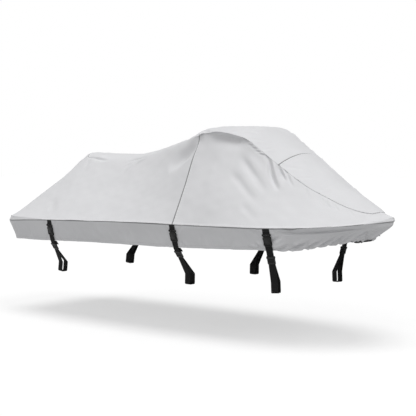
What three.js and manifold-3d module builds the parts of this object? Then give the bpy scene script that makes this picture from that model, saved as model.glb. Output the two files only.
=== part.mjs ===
// Fitted cover for a personal watercraft on its trailer, in millimetres.
// x runs from stern to bow, y to port, z up. The sections below are measured from the middle of
// the craft and from the height of the rail seam there; the whole cover is then moved so that its
// origin lies under the middle of the hood, where the craft holds it up.

import * as THREE from 'three';
import { mergeVertices } from 'three/addons/utils/BufferGeometryUtils.js';
import Module from 'manifold-3d';

const wasm = await Module();
wasm.setup();

const clothThickness = 2;
const seamGap = 0.3;
const hemThickness = 4;
const webbingWidth = 50;
const webbingThickness = 2;
const heldAt = { x: 380, z: 694 };

// One row for each rib of the cover, from the stern corner to the end of the nose panel.
// rail is the seam between upper cloth and skirt, hem the lower edge of the skirt, lip the height
// of the upright strip above the rail seam, edge the line where side and top panels meet, top the
// centre line of the top panels, round how square the top's section is, tuck how far the side
// draws in just under the edge, and sag how far it draws in at half height.
const ribColumns = [
  'railX', 'railY', 'railZ', 'hemX', 'hemY', 'hemZ', 'lip', 'edgeX', 'edgeY', 'edgeZ',
  'topX', 'topZ', 'round', 'tuck', 'sag'];
const ribRows = [
  [-1662, 480, -50, -1618, 438, -203, 36, -1640, 476, -14, -1672, -14, 2.0, 0, 0],
  [-1565, 520, -45, -1560, 462, -201, 32, -1572, 458, 23, -1606, 25, 2.0, 0, 2],
  [-1400, 550, -35, -1380, 495, -198, 22, -1405, 374, 156, -1443, 166, 2.1, 0, 8],
  [-1225, 566, -27, -1213, 511, -194, 10, -1233, 270, 302, -1283, 320, 2.3, 0, 12],
  [-1050, 580, -20, -1044, 524, -189, 0, -1050, 160, 472, -1120, 509, 2.6, 0, 14],
  [-840, 590, -15, -837, 534, -183, 0, -840, 164, 455, -845, 499, 2.6, 0, 16],
  [-580, 601, -9, -580, 545, -178, 0, -575, 172, 459, -575, 499, 2.4, 0, 18],
  [-340, 607, -4, -340, 551, -174, 0, -325, 200, 492, -325, 538, 2.3, 0, 18],
  [-100, 611, -1, -100, 554, -172, 0, -75, 252, 552, -75, 600, 2.4, 0, 18],
  [90, 612, 0, 90, 555, -170, 0, 118, 308, 600, 118, 624, 3.0, 0, 16],
  [245, 612, 0, 243, 554, -167, 0, 280, 362, 632, 280, 687, 4.6, 4, 12],
  [430, 609, 0, 426, 552, -162, 0, 455, 376, 649, 455, 696, 3.4, 30, 4],
  [640, 600, 1, 632, 543, -157, 0, 650, 340, 614, 652, 694, 3.0, 30, 0],
  [790, 587, 1, 778, 529, -154, 0, 800, 323, 519, 805, 588, 2.4, 16, 0],
  [930, 564, 1, 910, 504, -152, 0, 934, 300, 416, 971, 493, 2.2, 8, 0],
  [1050, 534, 2, 1020, 470, -156, 0, 1045, 288, 342, 1060, 432, 2.1, 4, 0],
  [1160, 497, 5, 1112, 422, -155, 0, 1150, 271, 275, 1155, 368, 2.0, 0, 0],
  [1280, 443, 11, 1205, 350, -143, 0, 1270, 236, 208, 1270, 283, 2.0, 0, 0],
  [1400, 343, 18, 1290, 262, -126, 0, 1390, 184, 143, 1392, 210, 2.0, 0, 0],
  [1490, 252, 26, 1358, 182, -110, 3, 1484, 141, 107, 1484, 150, 2.0, 0, 0],
  [1556, 168, 33, 1412, 125, -95, 6, 1538, 80, 94, 1554, 101, 2.0, 0, 0],
];
const sternCorner = 0;
const seatCorner = 4;
const crossSeam = 10;
const hoodSeam = 14;
const noseEnd = 20;

// How rail and hem cross the ends of the cover: how far the middle stands out past the corner,
// how much higher it is, the power that rounds the outline, and the bow lip's height in the middle.
const sternEnd = { railOut: -33, hemOut: -26, railRise: -2, hemRise: -2, power: 6 };
const bowEnd = { railOut: 92, hemOut: 63, railRise: 15, hemRise: 8, power: 1.4, lip: 25 };
const lipLean = 1 / 9;
const leastLip = 5;
const hemTop = 0.84;
const bandDrops = [0, 0.15, 0.3, 0.57, hemTop, 1];

// Next to the bow the skirt tucks in under the rail seam, most at this drop below it. Places
// along the rail say where the tuck starts, where it is full, and where it has gone again.
const skirtTuck = { from: 1150, full: 1440, until: 1540, end: 1700, depth: 22, drop: 0.3 };

// Soft folds of the front side panels: where each starts and ends, as a place along the rail and
// a drop from 0 at the edge to 1 at the rail, its width, and its depth, which is inward.
const foldColumns = ['fromX', 'fromDrop', 'toX', 'toDrop', 'width', 'depth'];
const foldRows = [
  [690, 0.30, 900, 0.60, 40, 7],
  [620, 0.42, 780, 0.80, 40, 6],
  [850, 0.14, 980, 0.50, 30, 10],
  [925, 0.12, 1040, 0.46, 26, 8],
];
const panelHeight = 600;

// Columns of the mesh from the stern corner to the nose end, as steps between the named ribs.
const slopeSteps = 6;
const bodySteps = 15;
const hoodSteps = 13;
const noseSteps = 13;
const topSteps = 5;
const sideSteps = 7;

// The tie-down straps of one side: place along the rail, degrees that the lower end leans forward,
// clearance above the skirt, distance from the hem to the adjuster, and how far the loose tail
// hangs down beside the adjuster.
const strapColumns = ['name', 'railX', 'lean', 'lift', 'toAdjuster', 'tail'];
const strapRows = [
  ['aft', -1070, -9, 0.5, 16, 26],
  ['middle', 235, -2, 0.5, 22, 24],
  ['forward', 1000, 4, 0.9, 28, 0],
];

// The rails of the trailer, which the loops go round and which are not part of the cover.
const trailerRail = { outer: 419, width: 50, top: -368, height: 75, clearance: 0.6, corner: 6 };

// Lengths run down along the skirt from the rail seam, heights stand out from the skirt.
const tab = { start: 4, flat: 22, end: 40 };
const buckleBar = { length: 21, thickness: 10, bevel: 2 };
const buckleBody = { length: 65, thickness: 12.4, bevel: 2.5 };
// Half of each plate's width at distances down from its upper end.
const barOutline = [[0, 31], [13, 31], [15, 25], [21, 25]];
const bodyOutline = [[0, 27], [3, 30], [18, 30], [24, 27.5], [40, 27.5], [46, 30], [58, 30], [65, 26]];
const sternOutline = [[0, 24], [4, 28], [38, 28], [44, 24]];
const adjusterBar = { length: 17, width: 61, thickness: 13 };
const adjusterBody = { length: 57, width: 56, thickness: 10 };
const stem = { pastHem: 9, heightAtHem: 3.6, belowAdjuster: 6, aim: 0.35 };
const tailPath = [[0, 0], [-14, -6], [-20, -14], [-12, -20]];
const tailEnd = -24;
const sternStrap = { place: 0.3, lift: 1.2, start: 4, end: 104 };
const sternBuckle = { thickness: 11, bevel: 2.5 };
const bowCord = { reach: 0.9, radius: 6, below: 6.5, steps: 24, sides: 8 };

const finishes = {
  cloth: { color: 0xd3d4d6, roughness: 0.8, metalness: 0 },
  skirt: { color: 0xa2a3a6, roughness: 0.82, metalness: 0 },
  webbing: { color: 0x1b1b1d, roughness: 0.75, metalness: 0 },
  plastic: { color: 0x161618, roughness: 0.4, metalness: 0 },
};

const cover = new THREE.Group();
cover.position.set(-heldAt.x, 0, -heldAt.z);

function addPiece(name, geometry, finish) {
  const piece = new THREE.Mesh(geometry, new THREE.MeshStandardMaterial(finishes[finish]));
  piece.name = name;
  cover.add(piece);
  return piece;
}

const range = (steps, from = 0, to = 1) =>
  Array.from({ length: steps + 1 }, (_, i) => from + (to - from) * i / steps);

const named = (columns, row) => Object.fromEntries(columns.map((name, i) => [name, row[i]]));

// Smooth curve through values at given places that never overshoots them.
function track(places, values) {
  const last = places.length - 1;
  const gaps = range(last - 1, 0, last - 1).map((i) => places[i + 1] - places[i]);
  const slopes = gaps.map((gap, i) => (values[i + 1] - values[i]) / gap);
  const tangents = values.map((value, i) => {
    if (i === 0) return slopes[0];
    if (i === last) return slopes[last - 1];
    if (slopes[i - 1] * slopes[i] <= 0) return 0;
    const before = 2 * gaps[i] + gaps[i - 1];
    const after = gaps[i] + 2 * gaps[i - 1];
    return (before + after) / (before / slopes[i - 1] + after / slopes[i]);
  });
  return (place) => {
    let i = 0;
    while (i < last - 1 && place > places[i + 1]) i++;
    const t = (place - places[i]) / gaps[i];
    const rise = t * t * (3 - 2 * t);
    const leave = t * (1 - t) ** 2 * gaps[i];
    const arrive = -t * t * (1 - t) * gaps[i];
    return values[i] + (values[i + 1] - values[i]) * rise + tangents[i] * leave + tangents[i + 1] * arrive;
  };
}

const ribPlaces = ribRows.map((row) => row[0]);
const ribTracks = ribColumns.map((_, column) => track(ribPlaces, ribRows.map((row) => row[column])));

// The rib at a place along the rail. A lip too low to fold counts as none.
function ribAt(railX) {
  const rib = named(ribColumns, ribTracks.map((value) => value(railX)));
  if (rib.lip < leastLip) rib.lip = 0;
  return rib;
}

const sternRib = ribAt(ribPlaces[sternCorner]);
const noseRib = ribAt(ribPlaces[noseEnd]);

// A point of the top panels; across runs from -1 at the starboard edge to 1 at the port edge.
function topPoint(rib, across) {
  const spread = Math.abs(across);
  const slope = (ribPlaces[seatCorner] - rib.railX) / (ribPlaces[seatCorner] - ribPlaces[sternCorner]);
  const outline = 2 + (sternEnd.power - 2) * Math.max(0, slope);
  return new THREE.Vector3(
    rib.edgeX + (rib.topX - rib.edgeX) * (1 - spread ** outline),
    rib.edgeY * across,
    rib.topZ - (rib.topZ - rib.edgeZ) * spread ** rib.round);
}

function foldDepth(railX, drop) {
  let depth = 0;
  for (const row of foldRows) {
    const fold = named(foldColumns, row);
    const run = new THREE.Vector2(fold.toX - fold.fromX, (fold.toDrop - fold.fromDrop) * panelHeight);
    const off = new THREE.Vector2(railX - fold.fromX, (drop - fold.fromDrop) * panelHeight);
    const along = off.dot(run) / run.lengthSq();
    const aside = off.cross(run) / run.length();
    const fade = Math.max(0, 1 - (2 * along - 1) ** 2 / 2);
    depth += fold.depth * Math.exp(-2 * (aside / fold.width) ** 2) * fade;
  }
  return depth * Math.min(1, 10 * drop, 10 * (1 - drop));
}

// How far forward of its foot the top of the lip stands.
const lipShift = (rib) => (rib.edgeX - rib.railX) * rib.lip / (rib.edgeZ - rib.railZ);

// A point of the side panels; drop runs from 0 at the edge to 1 at the lip, side is -1 to starboard.
function sidePoint(rib, drop, side) {
  const tucked = rib.tuck * 9.5 * drop * (1 - drop) ** 3;
  const inward = tucked + rib.sag * 4 * drop * (1 - drop) + foldDepth(rib.railX, drop);
  const lowY = rib.railY - rib.lip * lipLean;
  const lowZ = rib.railZ + rib.lip;
  return new THREE.Vector3(
    rib.edgeX + (rib.railX + lipShift(rib) - rib.edgeX) * drop,
    (rib.edgeY + (lowY - rib.edgeY) * drop - inward) * side,
    rib.edgeZ + (lowZ - rib.edgeZ) * drop - inward / 3);
}

const railPoint = (rib, side) => new THREE.Vector3(rib.railX, rib.railY * side, rib.railZ);
const hemPoint = (rib, side) => new THREE.Vector3(rib.hemX, rib.hemY * side, rib.hemZ);

// A rail or hem point across an end of the cover, from -1 at the starboard corner to 1 at port.
function endPoint(end, rib, line, across) {
  const middle = 1 - Math.abs(across) ** end.power;
  return new THREE.Vector3(
    rib[line + 'X'] + end[line + 'Out'] * middle,
    rib[line + 'Y'] * across,
    rib[line + 'Z'] + end[line + 'Rise'] * middle);
}

// Every panel lies on one surface, so that neighbours share the points of their seam.
const surfacePoints = [];
const pointAtPlace = new Map();
const panels = new Map();
const hemmed = new Set();

function addPoint(point) {
  const key = point.toArray().map((value) => Math.round(value * 20)).join(' ');
  if (!pointAtPlace.has(key)) {
    pointAtPlace.set(key, surfacePoints.length);
    surfacePoints.push(point);
  }
  return pointAtPlace.get(key);
}

// Rows of points become the triangles of a panel; turned ones face the other way.
function addGrid(panel, rows, turned = false) {
  if (!panels.has(panel)) panels.set(panel, []);
  const indices = rows.map((row) => row.map(addPoint));
  for (let i = 0; i < rows.length - 1; i++) {
    for (let j = 0; j < rows[i].length - 1; j++) {
      const [a, b, c, d] = [indices[i][j], indices[i + 1][j], indices[i + 1][j + 1], indices[i][j + 1]];
      for (const face of [[a, b, c], [a, c, d]]) {
        if (new Set(face).size === 3) panels.get(panel).push(turned ? face.reverse() : face);
      }
    }
  }
  return indices;
}

const acrossSteps = range(2 * topSteps, -1, 1);
const columnsBetween = (first, last, steps) => range(steps, ribPlaces[first], ribPlaces[last]).map(ribAt);
const slopeRibs = columnsBetween(sternCorner, seatCorner, slopeSteps);
const bodyRibs = columnsBetween(seatCorner, crossSeam, bodySteps);
const hoodRibs = columnsBetween(crossSeam, hoodSeam, hoodSteps);
const noseRibs = columnsBetween(hoodSeam, noseEnd, noseSteps);
const rearRibs = [...slopeRibs, ...bodyRibs.slice(1)];
const frontRibs = [...hoodRibs, ...noseRibs.slice(1)];

function layTop(panel, ribs) {
  addGrid(panel, ribs.map((rib) => acrossSteps.map((across) => topPoint(rib, across))));
}

// The slope panel turns down at the stern into an upright lip.
function laySternLip() {
  addGrid('stern_slope', [
    acrossSteps.map((across) => endPoint(sternEnd, sternRib, 'rail', across)),
    acrossSteps.map((across) => topPoint(sternRib, across))]);
}

function laySide(panel, ribs, side) {
  addGrid(panel, ribs.map((rib) => [
    ...range(sideSteps).map((drop) => sidePoint(rib, drop, side)),
    railPoint(rib, side)]), side < 0);
}

// The side panels meet in front of the nose panel, from its end down to the rail.
function layBow(panel, side) {
  addGrid(panel, range(topSteps).map((spread) => {
    const upper = topPoint(noseRib, spread * side);
    const rail = endPoint(bowEnd, noseRib, 'rail', spread * side);
    const lip = bowEnd.lip + (noseRib.lip - bowEnd.lip) * spread;
    const lean = new THREE.Vector3(spread - 1, -spread * side, 1 / lipLean).multiplyScalar(lip * lipLean);
    const low = rail.clone().add(lean).add(new THREE.Vector3(spread * lipShift(noseRib), 0, 0));
    return [...range(sideSteps).map((drop) => upper.clone().lerp(low, drop)), rail];
  }), side > 0);
}

// A point of the skirt between a rail point and the hem point below it.
function bandPoint([rail, hem], drop) {
  const rise = (rail.x - skirtTuck.from) / (skirtTuck.full - skirtTuck.from);
  const fall = (skirtTuck.end - rail.x) / (skirtTuck.end - skirtTuck.until);
  const share = Math.min(drop / skirtTuck.drop, (1 - drop) / (1 - skirtTuck.drop));
  const inward = hem.clone().sub(rail).setZ(0).normalize();
  const depth = skirtTuck.depth * THREE.MathUtils.clamp(Math.min(rise, fall), 0, 1) * share;
  return rail.clone().lerp(hem, drop).addScaledVector(inward, depth);
}

function laySkirt(panel, lines, turned) {
  const rows = lines.map((line) => bandDrops.map((drop) => bandPoint(line, drop)));
  for (const row of addGrid(panel, rows, turned)) {
    row.filter((_, i) => bandDrops[i] >= hemTop).forEach((index) => hemmed.add(index));
  }
}

const endLines = (end, rib, steps) =>
  steps.map((across) => [endPoint(end, rib, 'rail', across), endPoint(end, rib, 'hem', across)]);

layTop('stern_slope', slopeRibs);
laySternLip();
layTop('rear_body', bodyRibs);
layTop('hood', hoodRibs);
layTop('nose', noseRibs);
laySkirt('skirt_stern', endLines(sternEnd, sternRib, acrossSteps), false);
for (const [side, word] of [[-1, 'starboard'], [1, 'port']]) {
  laySide('rear_body', rearRibs, side);
  laySide(`side_front_${word}`, frontRibs, side);
  layBow(`side_front_${word}`, side);
  const sideLine = (rib) => [railPoint(rib, side), hemPoint(rib, side)];
  const bowLines = endLines(bowEnd, noseRib, range(topSteps, side, 0).slice(1));
  laySkirt(`skirt_rear_${word}`, rearRibs.map(sideLine), side < 0);
  laySkirt(`skirt_front_${word}`, [...frontRibs.map(sideLine), ...bowLines], side < 0);
}

const faceNormal = ([a, b, c]) => new THREE.Vector3().crossVectors(
  surfacePoints[b].clone().sub(surfacePoints[a]), surfacePoints[c].clone().sub(surfacePoints[a]));

const normals = surfacePoints.map(() => new THREE.Vector3());
for (const faces of panels.values()) {
  for (const face of faces) {
    const normal = faceNormal(face);
    face.forEach((index, i) => {
      const point = surfacePoints[index];
      const first = surfacePoints[face[(i + 1) % 3]].clone().sub(point);
      const second = surfacePoints[face[(i + 2) % 3]].clone().sub(point);
      normals[index].addScaledVector(normal.clone().normalize(), first.angleTo(second));
    });
  }
}
normals.forEach((normal) => normal.normalize());

// Edges that only one triangle of the panel has, in the order that keeps the panel on their left.
function borderEdges(faces) {
  const edges = new Map();
  for (const face of faces) {
    face.forEach((from, i) => {
      const [to, opposite] = [face[(i + 1) % 3], face[(i + 2) % 3]];
      edges.set(`${from} ${to}`, [from, to, opposite]);
    });
  }
  return [...edges.values()].filter(([from, to]) => !edges.has(`${to} ${from}`));
}

// How far each border point draws back from its seams, so that half the gap lies on each side.
function seamShifts(border) {
  const backs = new Map();
  for (const [from, to, opposite] of border) {
    const along = surfacePoints[to].clone().sub(surfacePoints[from]);
    const inward = surfacePoints[opposite].clone().sub(surfacePoints[from]);
    for (const index of [from, to]) {
      const back = normals[index].clone().cross(along).normalize();
      if (back.dot(inward) < 0) back.negate();
      backs.set(index, [...(backs.get(index) ?? []), back]);
    }
  }
  return new Map([...backs].map(([index, [first, second]]) => {
    const spread = Math.max(0.3, 1 + first.dot(second));
    return [index, first.clone().add(second).multiplyScalar(seamGap / 2 / spread)];
  }));
}

// Gives a panel its thickness on the inside and closes its borders on the mitre of each seam.
function thicken(faces) {
  const border = borderEdges(faces);
  const shifts = seamShifts(border);
  const local = new Map();
  const outer = [];
  const inner = [];
  for (const index of new Set(faces.flat())) {
    local.set(index, outer.length);
    const point = surfacePoints[index].clone();
    if (shifts.has(index)) point.add(shifts.get(index));
    const thickness = hemmed.has(index) ? hemThickness : clothThickness;
    outer.push(point);
    inner.push(point.clone().addScaledVector(normals[index], -thickness));
  }
  const count = outer.length;
  const triangles = [];
  for (const face of faces) {
    const [a, b, c] = face.map((index) => local.get(index));
    triangles.push([a, b, c], [a + count, c + count, b + count]);
  }
  for (const [from, to] of border) {
    const [a, b] = [local.get(from), local.get(to)];
    if (from < to) triangles.push([b, a, a + count], [b, a + count, b + count]);
    else triangles.push([b, a, b + count], [a, a + count, b + count]);
  }
  const geometry = new THREE.BufferGeometry().setFromPoints([...outer, ...inner]);
  geometry.setIndex(triangles.flat());
  return geometry;
}

for (const [name, faces] of panels) {
  addPiece(name, thicken(faces), name.startsWith('skirt') ? 'skirt' : 'cloth');
}

// A frame on the skirt from a point of the rail seam: down the skirt, out from it, and across.
// It leans by an angle towards the way that the tangent points.
function skirtFrame(rail, hem, tangent, side, lean) {
  const ahead = tangent.normalize();
  const down = hem.clone().sub(rail);
  down.addScaledVector(ahead, -down.dot(ahead));
  const length = down.length() / Math.cos(lean);
  down.normalize().addScaledVector(ahead, Math.tan(lean)).normalize();
  const out = new THREE.Vector3().crossVectors(ahead, down).normalize().multiplyScalar(side);
  return { rail, down, out, across: new THREE.Vector3().crossVectors(down, out), length };
}

// On the side of the skirt, square to it half way down.
function sideFrame(railX, side, lean) {
  const halfWay = (x) => railPoint(ribAt(x), side).lerp(hemPoint(ribAt(x), side), 0.5);
  const tangent = halfWay(railX + webbingWidth / 2).sub(halfWay(railX - webbingWidth / 2));
  const rib = ribAt(railX);
  return skirtFrame(railPoint(rib, side), hemPoint(rib, side), tangent, side, lean);
}

// On the flat of the stern skirt next to its corner.
function sternFrame(side) {
  const flat = [1 - 1 / topSteps, 1].map((across) =>
    ['rail', 'hem'].map((line) => endPoint(sternEnd, sternRib, line, across * side)));
  const [rail, hem] = [0, 1].map((line) => flat[0][line].clone().lerp(flat[1][line], sternStrap.place));
  const tangent = flat[1][0].clone().add(flat[1][1]).sub(flat[0][0]).sub(flat[0][1]);
  return skirtFrame(rail, hem, tangent, side, 0);
}

const vector = (x, y) => new THREE.Vector2(x, y);

// An outline with at most one hole, whose points run anticlockwise.
function shapeOf(points, hole = []) {
  const shape = new THREE.Shape(points);
  if (THREE.ShapeUtils.isClockWise(hole)) hole.reverse();
  if (hole.length > 0) shape.holes.push(new THREE.Path(hole));
  return shape;
}

const rectangle = (width, height) =>
  [[-1, -1], [1, -1], [1, 1], [-1, 1]].map(([x, y]) => vector(x * width / 2, y * height / 2));

const extruded = (shape, depth) => new THREE.ExtrudeGeometry(shape, { depth, bevelEnabled: false });

// The path moved sideways, with each bend mitred.
function offsetPath(path, distance, closed) {
  return path.map((point, i) => {
    const legs = [[path.at(i - 1), point], [point, path[(i + 1) % path.length]]];
    const used = closed ? legs : legs.slice(i === 0 ? 1 : 0, i === path.length - 1 ? 1 : 2);
    const sides = used.map(([from, to]) => to.clone().sub(from).normalize()).map(({ x, y }) => vector(-y, x));
    const sum = sides.reduce((total, side) => total.add(side), vector(0, 0));
    return point.clone().addScaledVector(sum, distance * sides.length / sum.lengthSq());
  });
}

// The edge view of webbing that follows a path.
function ribbon(path, thickness, closed = false) {
  const [left, right] = [thickness / 2, -thickness / 2].map((side) => offsetPath(path, side, closed));
  return closed ? shapeOf(left, right) : shapeOf([...left, ...right.reverse()]);
}

function toSolid(geometry) {
  geometry.deleteAttribute('normal');
  geometry.deleteAttribute('uv');
  const merged = mergeVertices(geometry);
  return new wasm.Manifold(new wasm.Mesh({
    numProp: 3,
    vertProperties: new Float32Array(merged.attributes.position.array),
    triVerts: new Uint32Array(merged.index.array),
  }));
}

function joined(geometries) {
  const mesh = geometries.map(toSolid).reduce((whole, solid) => whole.add(solid)).getMesh();
  const geometry = new THREE.BufferGeometry();
  geometry.setAttribute('position', new THREE.BufferAttribute(mesh.vertProperties, 3));
  geometry.setIndex(new THREE.BufferAttribute(mesh.triVerts, 1));
  return geometry;
}

function placed(geometry, origin, ...axes) {
  return geometry.applyMatrix4(new THREE.Matrix4().makeBasis(...axes).setPosition(origin));
}

const onSkirt = (frame, down, out) =>
  frame.rail.clone().addScaledVector(frame.down, down).addScaledVector(frame.out, out);

// A moulded plate that lies on the skirt, its lower face at a height above it.
function addPlate(name, frame, start, height, { thickness, bevel }, halfWidths) {
  const half = halfWidths.map(([down, width]) => vector(width, down));
  const shape = shapeOf([...half, ...half.map(({ x, y }) => vector(-x, y)).reverse()]);
  const edges = { bevelThickness: bevel, bevelSize: bevel, bevelOffset: -bevel, bevelSegments: 1 };
  const plate = new THREE.ExtrudeGeometry(shape, { depth: thickness - 2 * bevel, ...edges });
  const origin = onSkirt(frame, start, height + bevel);
  addPiece(name, placed(plate, origin, frame.across, frame.down, frame.out), 'plastic');
}

function addWebbing(name, frame, shapes) {
  const runs = shapes.map((shape) => extruded(shape, webbingWidth).translate(0, 0, -webbingWidth / 2));
  addPiece(name, placed(joined(runs), frame.rail, frame.down, frame.out, frame.across), 'webbing');
}

// The corners of a strap's loop round the trailer rail, seen edge on, from the outer upper one.
function loopCorners({ rail, down, out }) {
  const gap = trailerRail.clearance + webbingThickness / 2;
  const [near, far] = [trailerRail.outer + gap, trailerRail.outer - trailerRail.width - gap];
  const { top, corner } = trailerRail;
  const low = top - trailerRail.height - gap;
  const scale = down.y * out.z - down.z * out.y;
  const section = [
    [near, top], [near, low + corner], [near - corner, low],
    [far + corner, low], [far, low + corner], [far, top]];
  return section.map(([fromMiddle, z]) => [Math.sign(rail.y) * fromMiddle - rail.y, z - rail.z])
    .map(([y, z]) => vector((y * out.z - z * out.y) / scale, (down.y * z - down.z * y) / scale));
}

// Webbing from the buckle over the hem, doubled through the adjuster and looped round the rail.
function addStrap(name, frame, start, height, { toAdjuster, tail }) {
  const corners = loopCorners(frame);
  const bend = vector(frame.length + stem.pastHem, stem.heightAtHem);
  const along = corners[0].clone().lerp(corners.at(-1), stem.aim).sub(bend).normalize();
  const outward = vector(-along.y, along.x);
  const at = (distance, out = 0) =>
    bend.clone().addScaledVector(along, distance).addScaledVector(outward, out);
  const apex = at(toAdjuster + adjusterBody.length + stem.belowAdjuster);
  const shapes = [
    ribbon([vector(start, height), bend, at(toAdjuster + 1)], webbingThickness),
    ribbon([at(toAdjuster), apex], 2 * webbingThickness),
    ribbon([apex, ...corners], webbingThickness, true)];
  if (tail > 0) {
    const path = [...tailPath, [tail, tailEnd]].map(([down, out]) => at(toAdjuster + down, out));
    shapes.push(ribbon(path, webbingThickness));
  }
  addWebbing(`strap_${name}`, frame, shapes);
  addAdjuster(`adjuster_${name}`, frame, at(toAdjuster), along, outward);
}

function addAdjuster(name, frame, start, along, outward) {
  const slot = rectangle(2 * webbingThickness + 2 * seamGap, webbingWidth + 2 * seamGap);
  const ring = joined([adjusterBar, adjusterBody].map(({ length, width, thickness }) =>
    extruded(shapeOf(rectangle(thickness, width), slot), length)));
  const inSpace = (direction) =>
    frame.down.clone().multiplyScalar(direction.x).addScaledVector(frame.out, direction.y);
  const origin = onSkirt(frame, start.x, start.y);
  addPiece(name, placed(ring, origin, inSpace(outward), frame.across, inSpace(along)), 'plastic');
}

for (const row of strapRows) {
  const strap = named(strapColumns, row);
  for (const [side, word] of [[-1, 'starboard'], [1, 'port']]) {
    const name = `${strap.name}_${word}`;
    const frame = sideFrame(strap.railX, side, THREE.MathUtils.degToRad(strap.lean));
    const flat = strap.lift + webbingThickness / 2;
    const middle = strap.lift + buckleBody.thickness / 2;
    const bodyStart = tab.end + buckleBar.length + 3 * seamGap;
    const tabPath = [vector(tab.start, flat), vector(tab.flat, flat), vector(tab.end, middle)];
    addWebbing(`tab_${name}`, frame, [ribbon(tabPath, webbingThickness)]);
    const barStart = tab.end + 2 * seamGap;
    const barHeight = middle - buckleBar.thickness / 2;
    addPlate(`buckle_bar_${name}`, frame, barStart, barHeight, buckleBar, barOutline);
    addPlate(`buckle_body_${name}`, frame, bodyStart, strap.lift, buckleBody, bodyOutline);
    addStrap(name, frame, bodyStart + buckleBody.length + 2 * seamGap, middle, strap);
  }
}

for (const [side, word] of [[-1, 'starboard'], [1, 'port']]) {
  const frame = sternFrame(side);
  const height = sternStrap.lift + webbingThickness / 2;
  const path = [vector(sternStrap.start, height), vector(sternStrap.end, height)];
  addWebbing(`stern_tab_${word}`, frame, [ribbon(path, webbingThickness)]);
  const buckleStart = sternStrap.end + seamGap;
  addPlate(`stern_buckle_${word}`, frame, buckleStart, sternStrap.lift, sternBuckle, sternOutline);
}

function addBowCord() {
  const points = range(2 * topSteps, -bowCord.reach, bowCord.reach)
    .map((across) => endPoint(bowEnd, noseRib, 'hem', across).sub(new THREE.Vector3(0, 0, bowCord.below)));
  const { radius, sides, steps } = bowCord;
  const turns = range(sides, 0, 2 * Math.PI).slice(1);
  const section = shapeOf(turns.map((turn) => vector(radius * Math.cos(turn), radius * Math.sin(turn))));
  const extrudePath = new THREE.CatmullRomCurve3(points);
  addPiece('bow_cord', new THREE.ExtrudeGeometry(section, { steps, extrudePath }), 'webbing');
}
addBowCord();

export default cover;
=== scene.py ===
import math

import bmesh
import bpy
import numpy as np
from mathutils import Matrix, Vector


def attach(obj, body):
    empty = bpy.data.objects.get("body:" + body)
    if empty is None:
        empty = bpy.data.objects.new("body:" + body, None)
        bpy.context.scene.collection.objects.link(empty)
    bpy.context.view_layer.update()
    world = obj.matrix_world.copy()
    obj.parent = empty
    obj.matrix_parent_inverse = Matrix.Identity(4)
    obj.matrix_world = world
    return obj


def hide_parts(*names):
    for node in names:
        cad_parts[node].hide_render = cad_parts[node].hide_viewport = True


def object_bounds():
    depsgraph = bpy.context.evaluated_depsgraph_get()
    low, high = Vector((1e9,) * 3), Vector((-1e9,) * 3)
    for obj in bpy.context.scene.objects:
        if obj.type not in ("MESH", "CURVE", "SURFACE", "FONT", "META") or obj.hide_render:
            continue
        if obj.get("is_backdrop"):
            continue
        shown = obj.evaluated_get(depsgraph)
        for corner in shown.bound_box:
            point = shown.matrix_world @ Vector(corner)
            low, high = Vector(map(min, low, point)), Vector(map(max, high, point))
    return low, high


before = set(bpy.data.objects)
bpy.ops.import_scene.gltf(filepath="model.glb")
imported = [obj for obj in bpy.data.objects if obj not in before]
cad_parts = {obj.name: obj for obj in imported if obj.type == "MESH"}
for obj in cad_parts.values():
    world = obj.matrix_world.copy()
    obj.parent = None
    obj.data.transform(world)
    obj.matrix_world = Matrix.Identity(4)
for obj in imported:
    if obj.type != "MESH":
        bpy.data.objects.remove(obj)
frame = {"nodes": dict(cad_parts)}
cadLow, cadHigh = [Vector(corner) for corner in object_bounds()]
print("frame:", len(frame["nodes"]), "nodes")

# Camera, lamps and floor, in metres, watts and degrees. The lens and its sensor are in millimetres.
view = {"target": (-.307, 0, -.609), "azimuth": 38.84, "elevation": 2.99, "distance": 7.61,
        "lens": 86.54, "sensor": 36, "reach": 200}
studio = {
    "floorDrop": .380,          # from the lowest loop to the ground that the trailer's wheels stand on
    "floorSize": 90,
    "floorColor": (.59, .59, .59, 1),
    "floorGlow": .47,           # seen only by the camera and by glossy surfaces
    "worldColor": (1, 1, 1, 1),
    "worldLight": .335,
    "backdrop": 1,              # what the camera sees of the world
    "lamps": [
        {"name": "overhead", "toward": (.15, -.25, 1.0), "spread": 34, "power": 1.34},
        {"name": "bowSide", "toward": (.80, -.20, .80), "spread": 25, "power": .54},
        {"name": "starboardSide", "toward": (.15, -.85, .72), "spread": 30, "power": .38},
    ],
}


def addObject(name, data):
    added = bpy.data.objects.new(name, data)
    bpy.context.scene.collection.objects.link(added)
    return added


def backTo(direction):          # the turn of a camera or lamp whose back is to a direction
    return Vector(direction).to_track_quat("Z", "Y").to_euler()


def addCamera():
    azimuth, elevation = math.radians(view["azimuth"]), math.radians(view["elevation"])
    flat = math.cos(elevation)
    back = Vector((math.sin(azimuth) * flat, -math.cos(azimuth) * flat, math.sin(elevation)))
    camera = addObject("camera", bpy.data.cameras.new("camera"))
    camera.data.lens = view["lens"]
    camera.data.sensor_width = view["sensor"]
    camera.data.clip_end = view["reach"]
    camera.location = Vector(view["target"]) + back * view["distance"]
    camera.rotation_euler = backTo(back)
    bpy.context.scene.camera = camera


def addLamp(name, toward, spread, power):
    light = bpy.data.lights.new(name, "SUN")
    light.angle = math.radians(spread)
    light.energy = power
    addObject(name, light).rotation_euler = backTo(toward)


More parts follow.
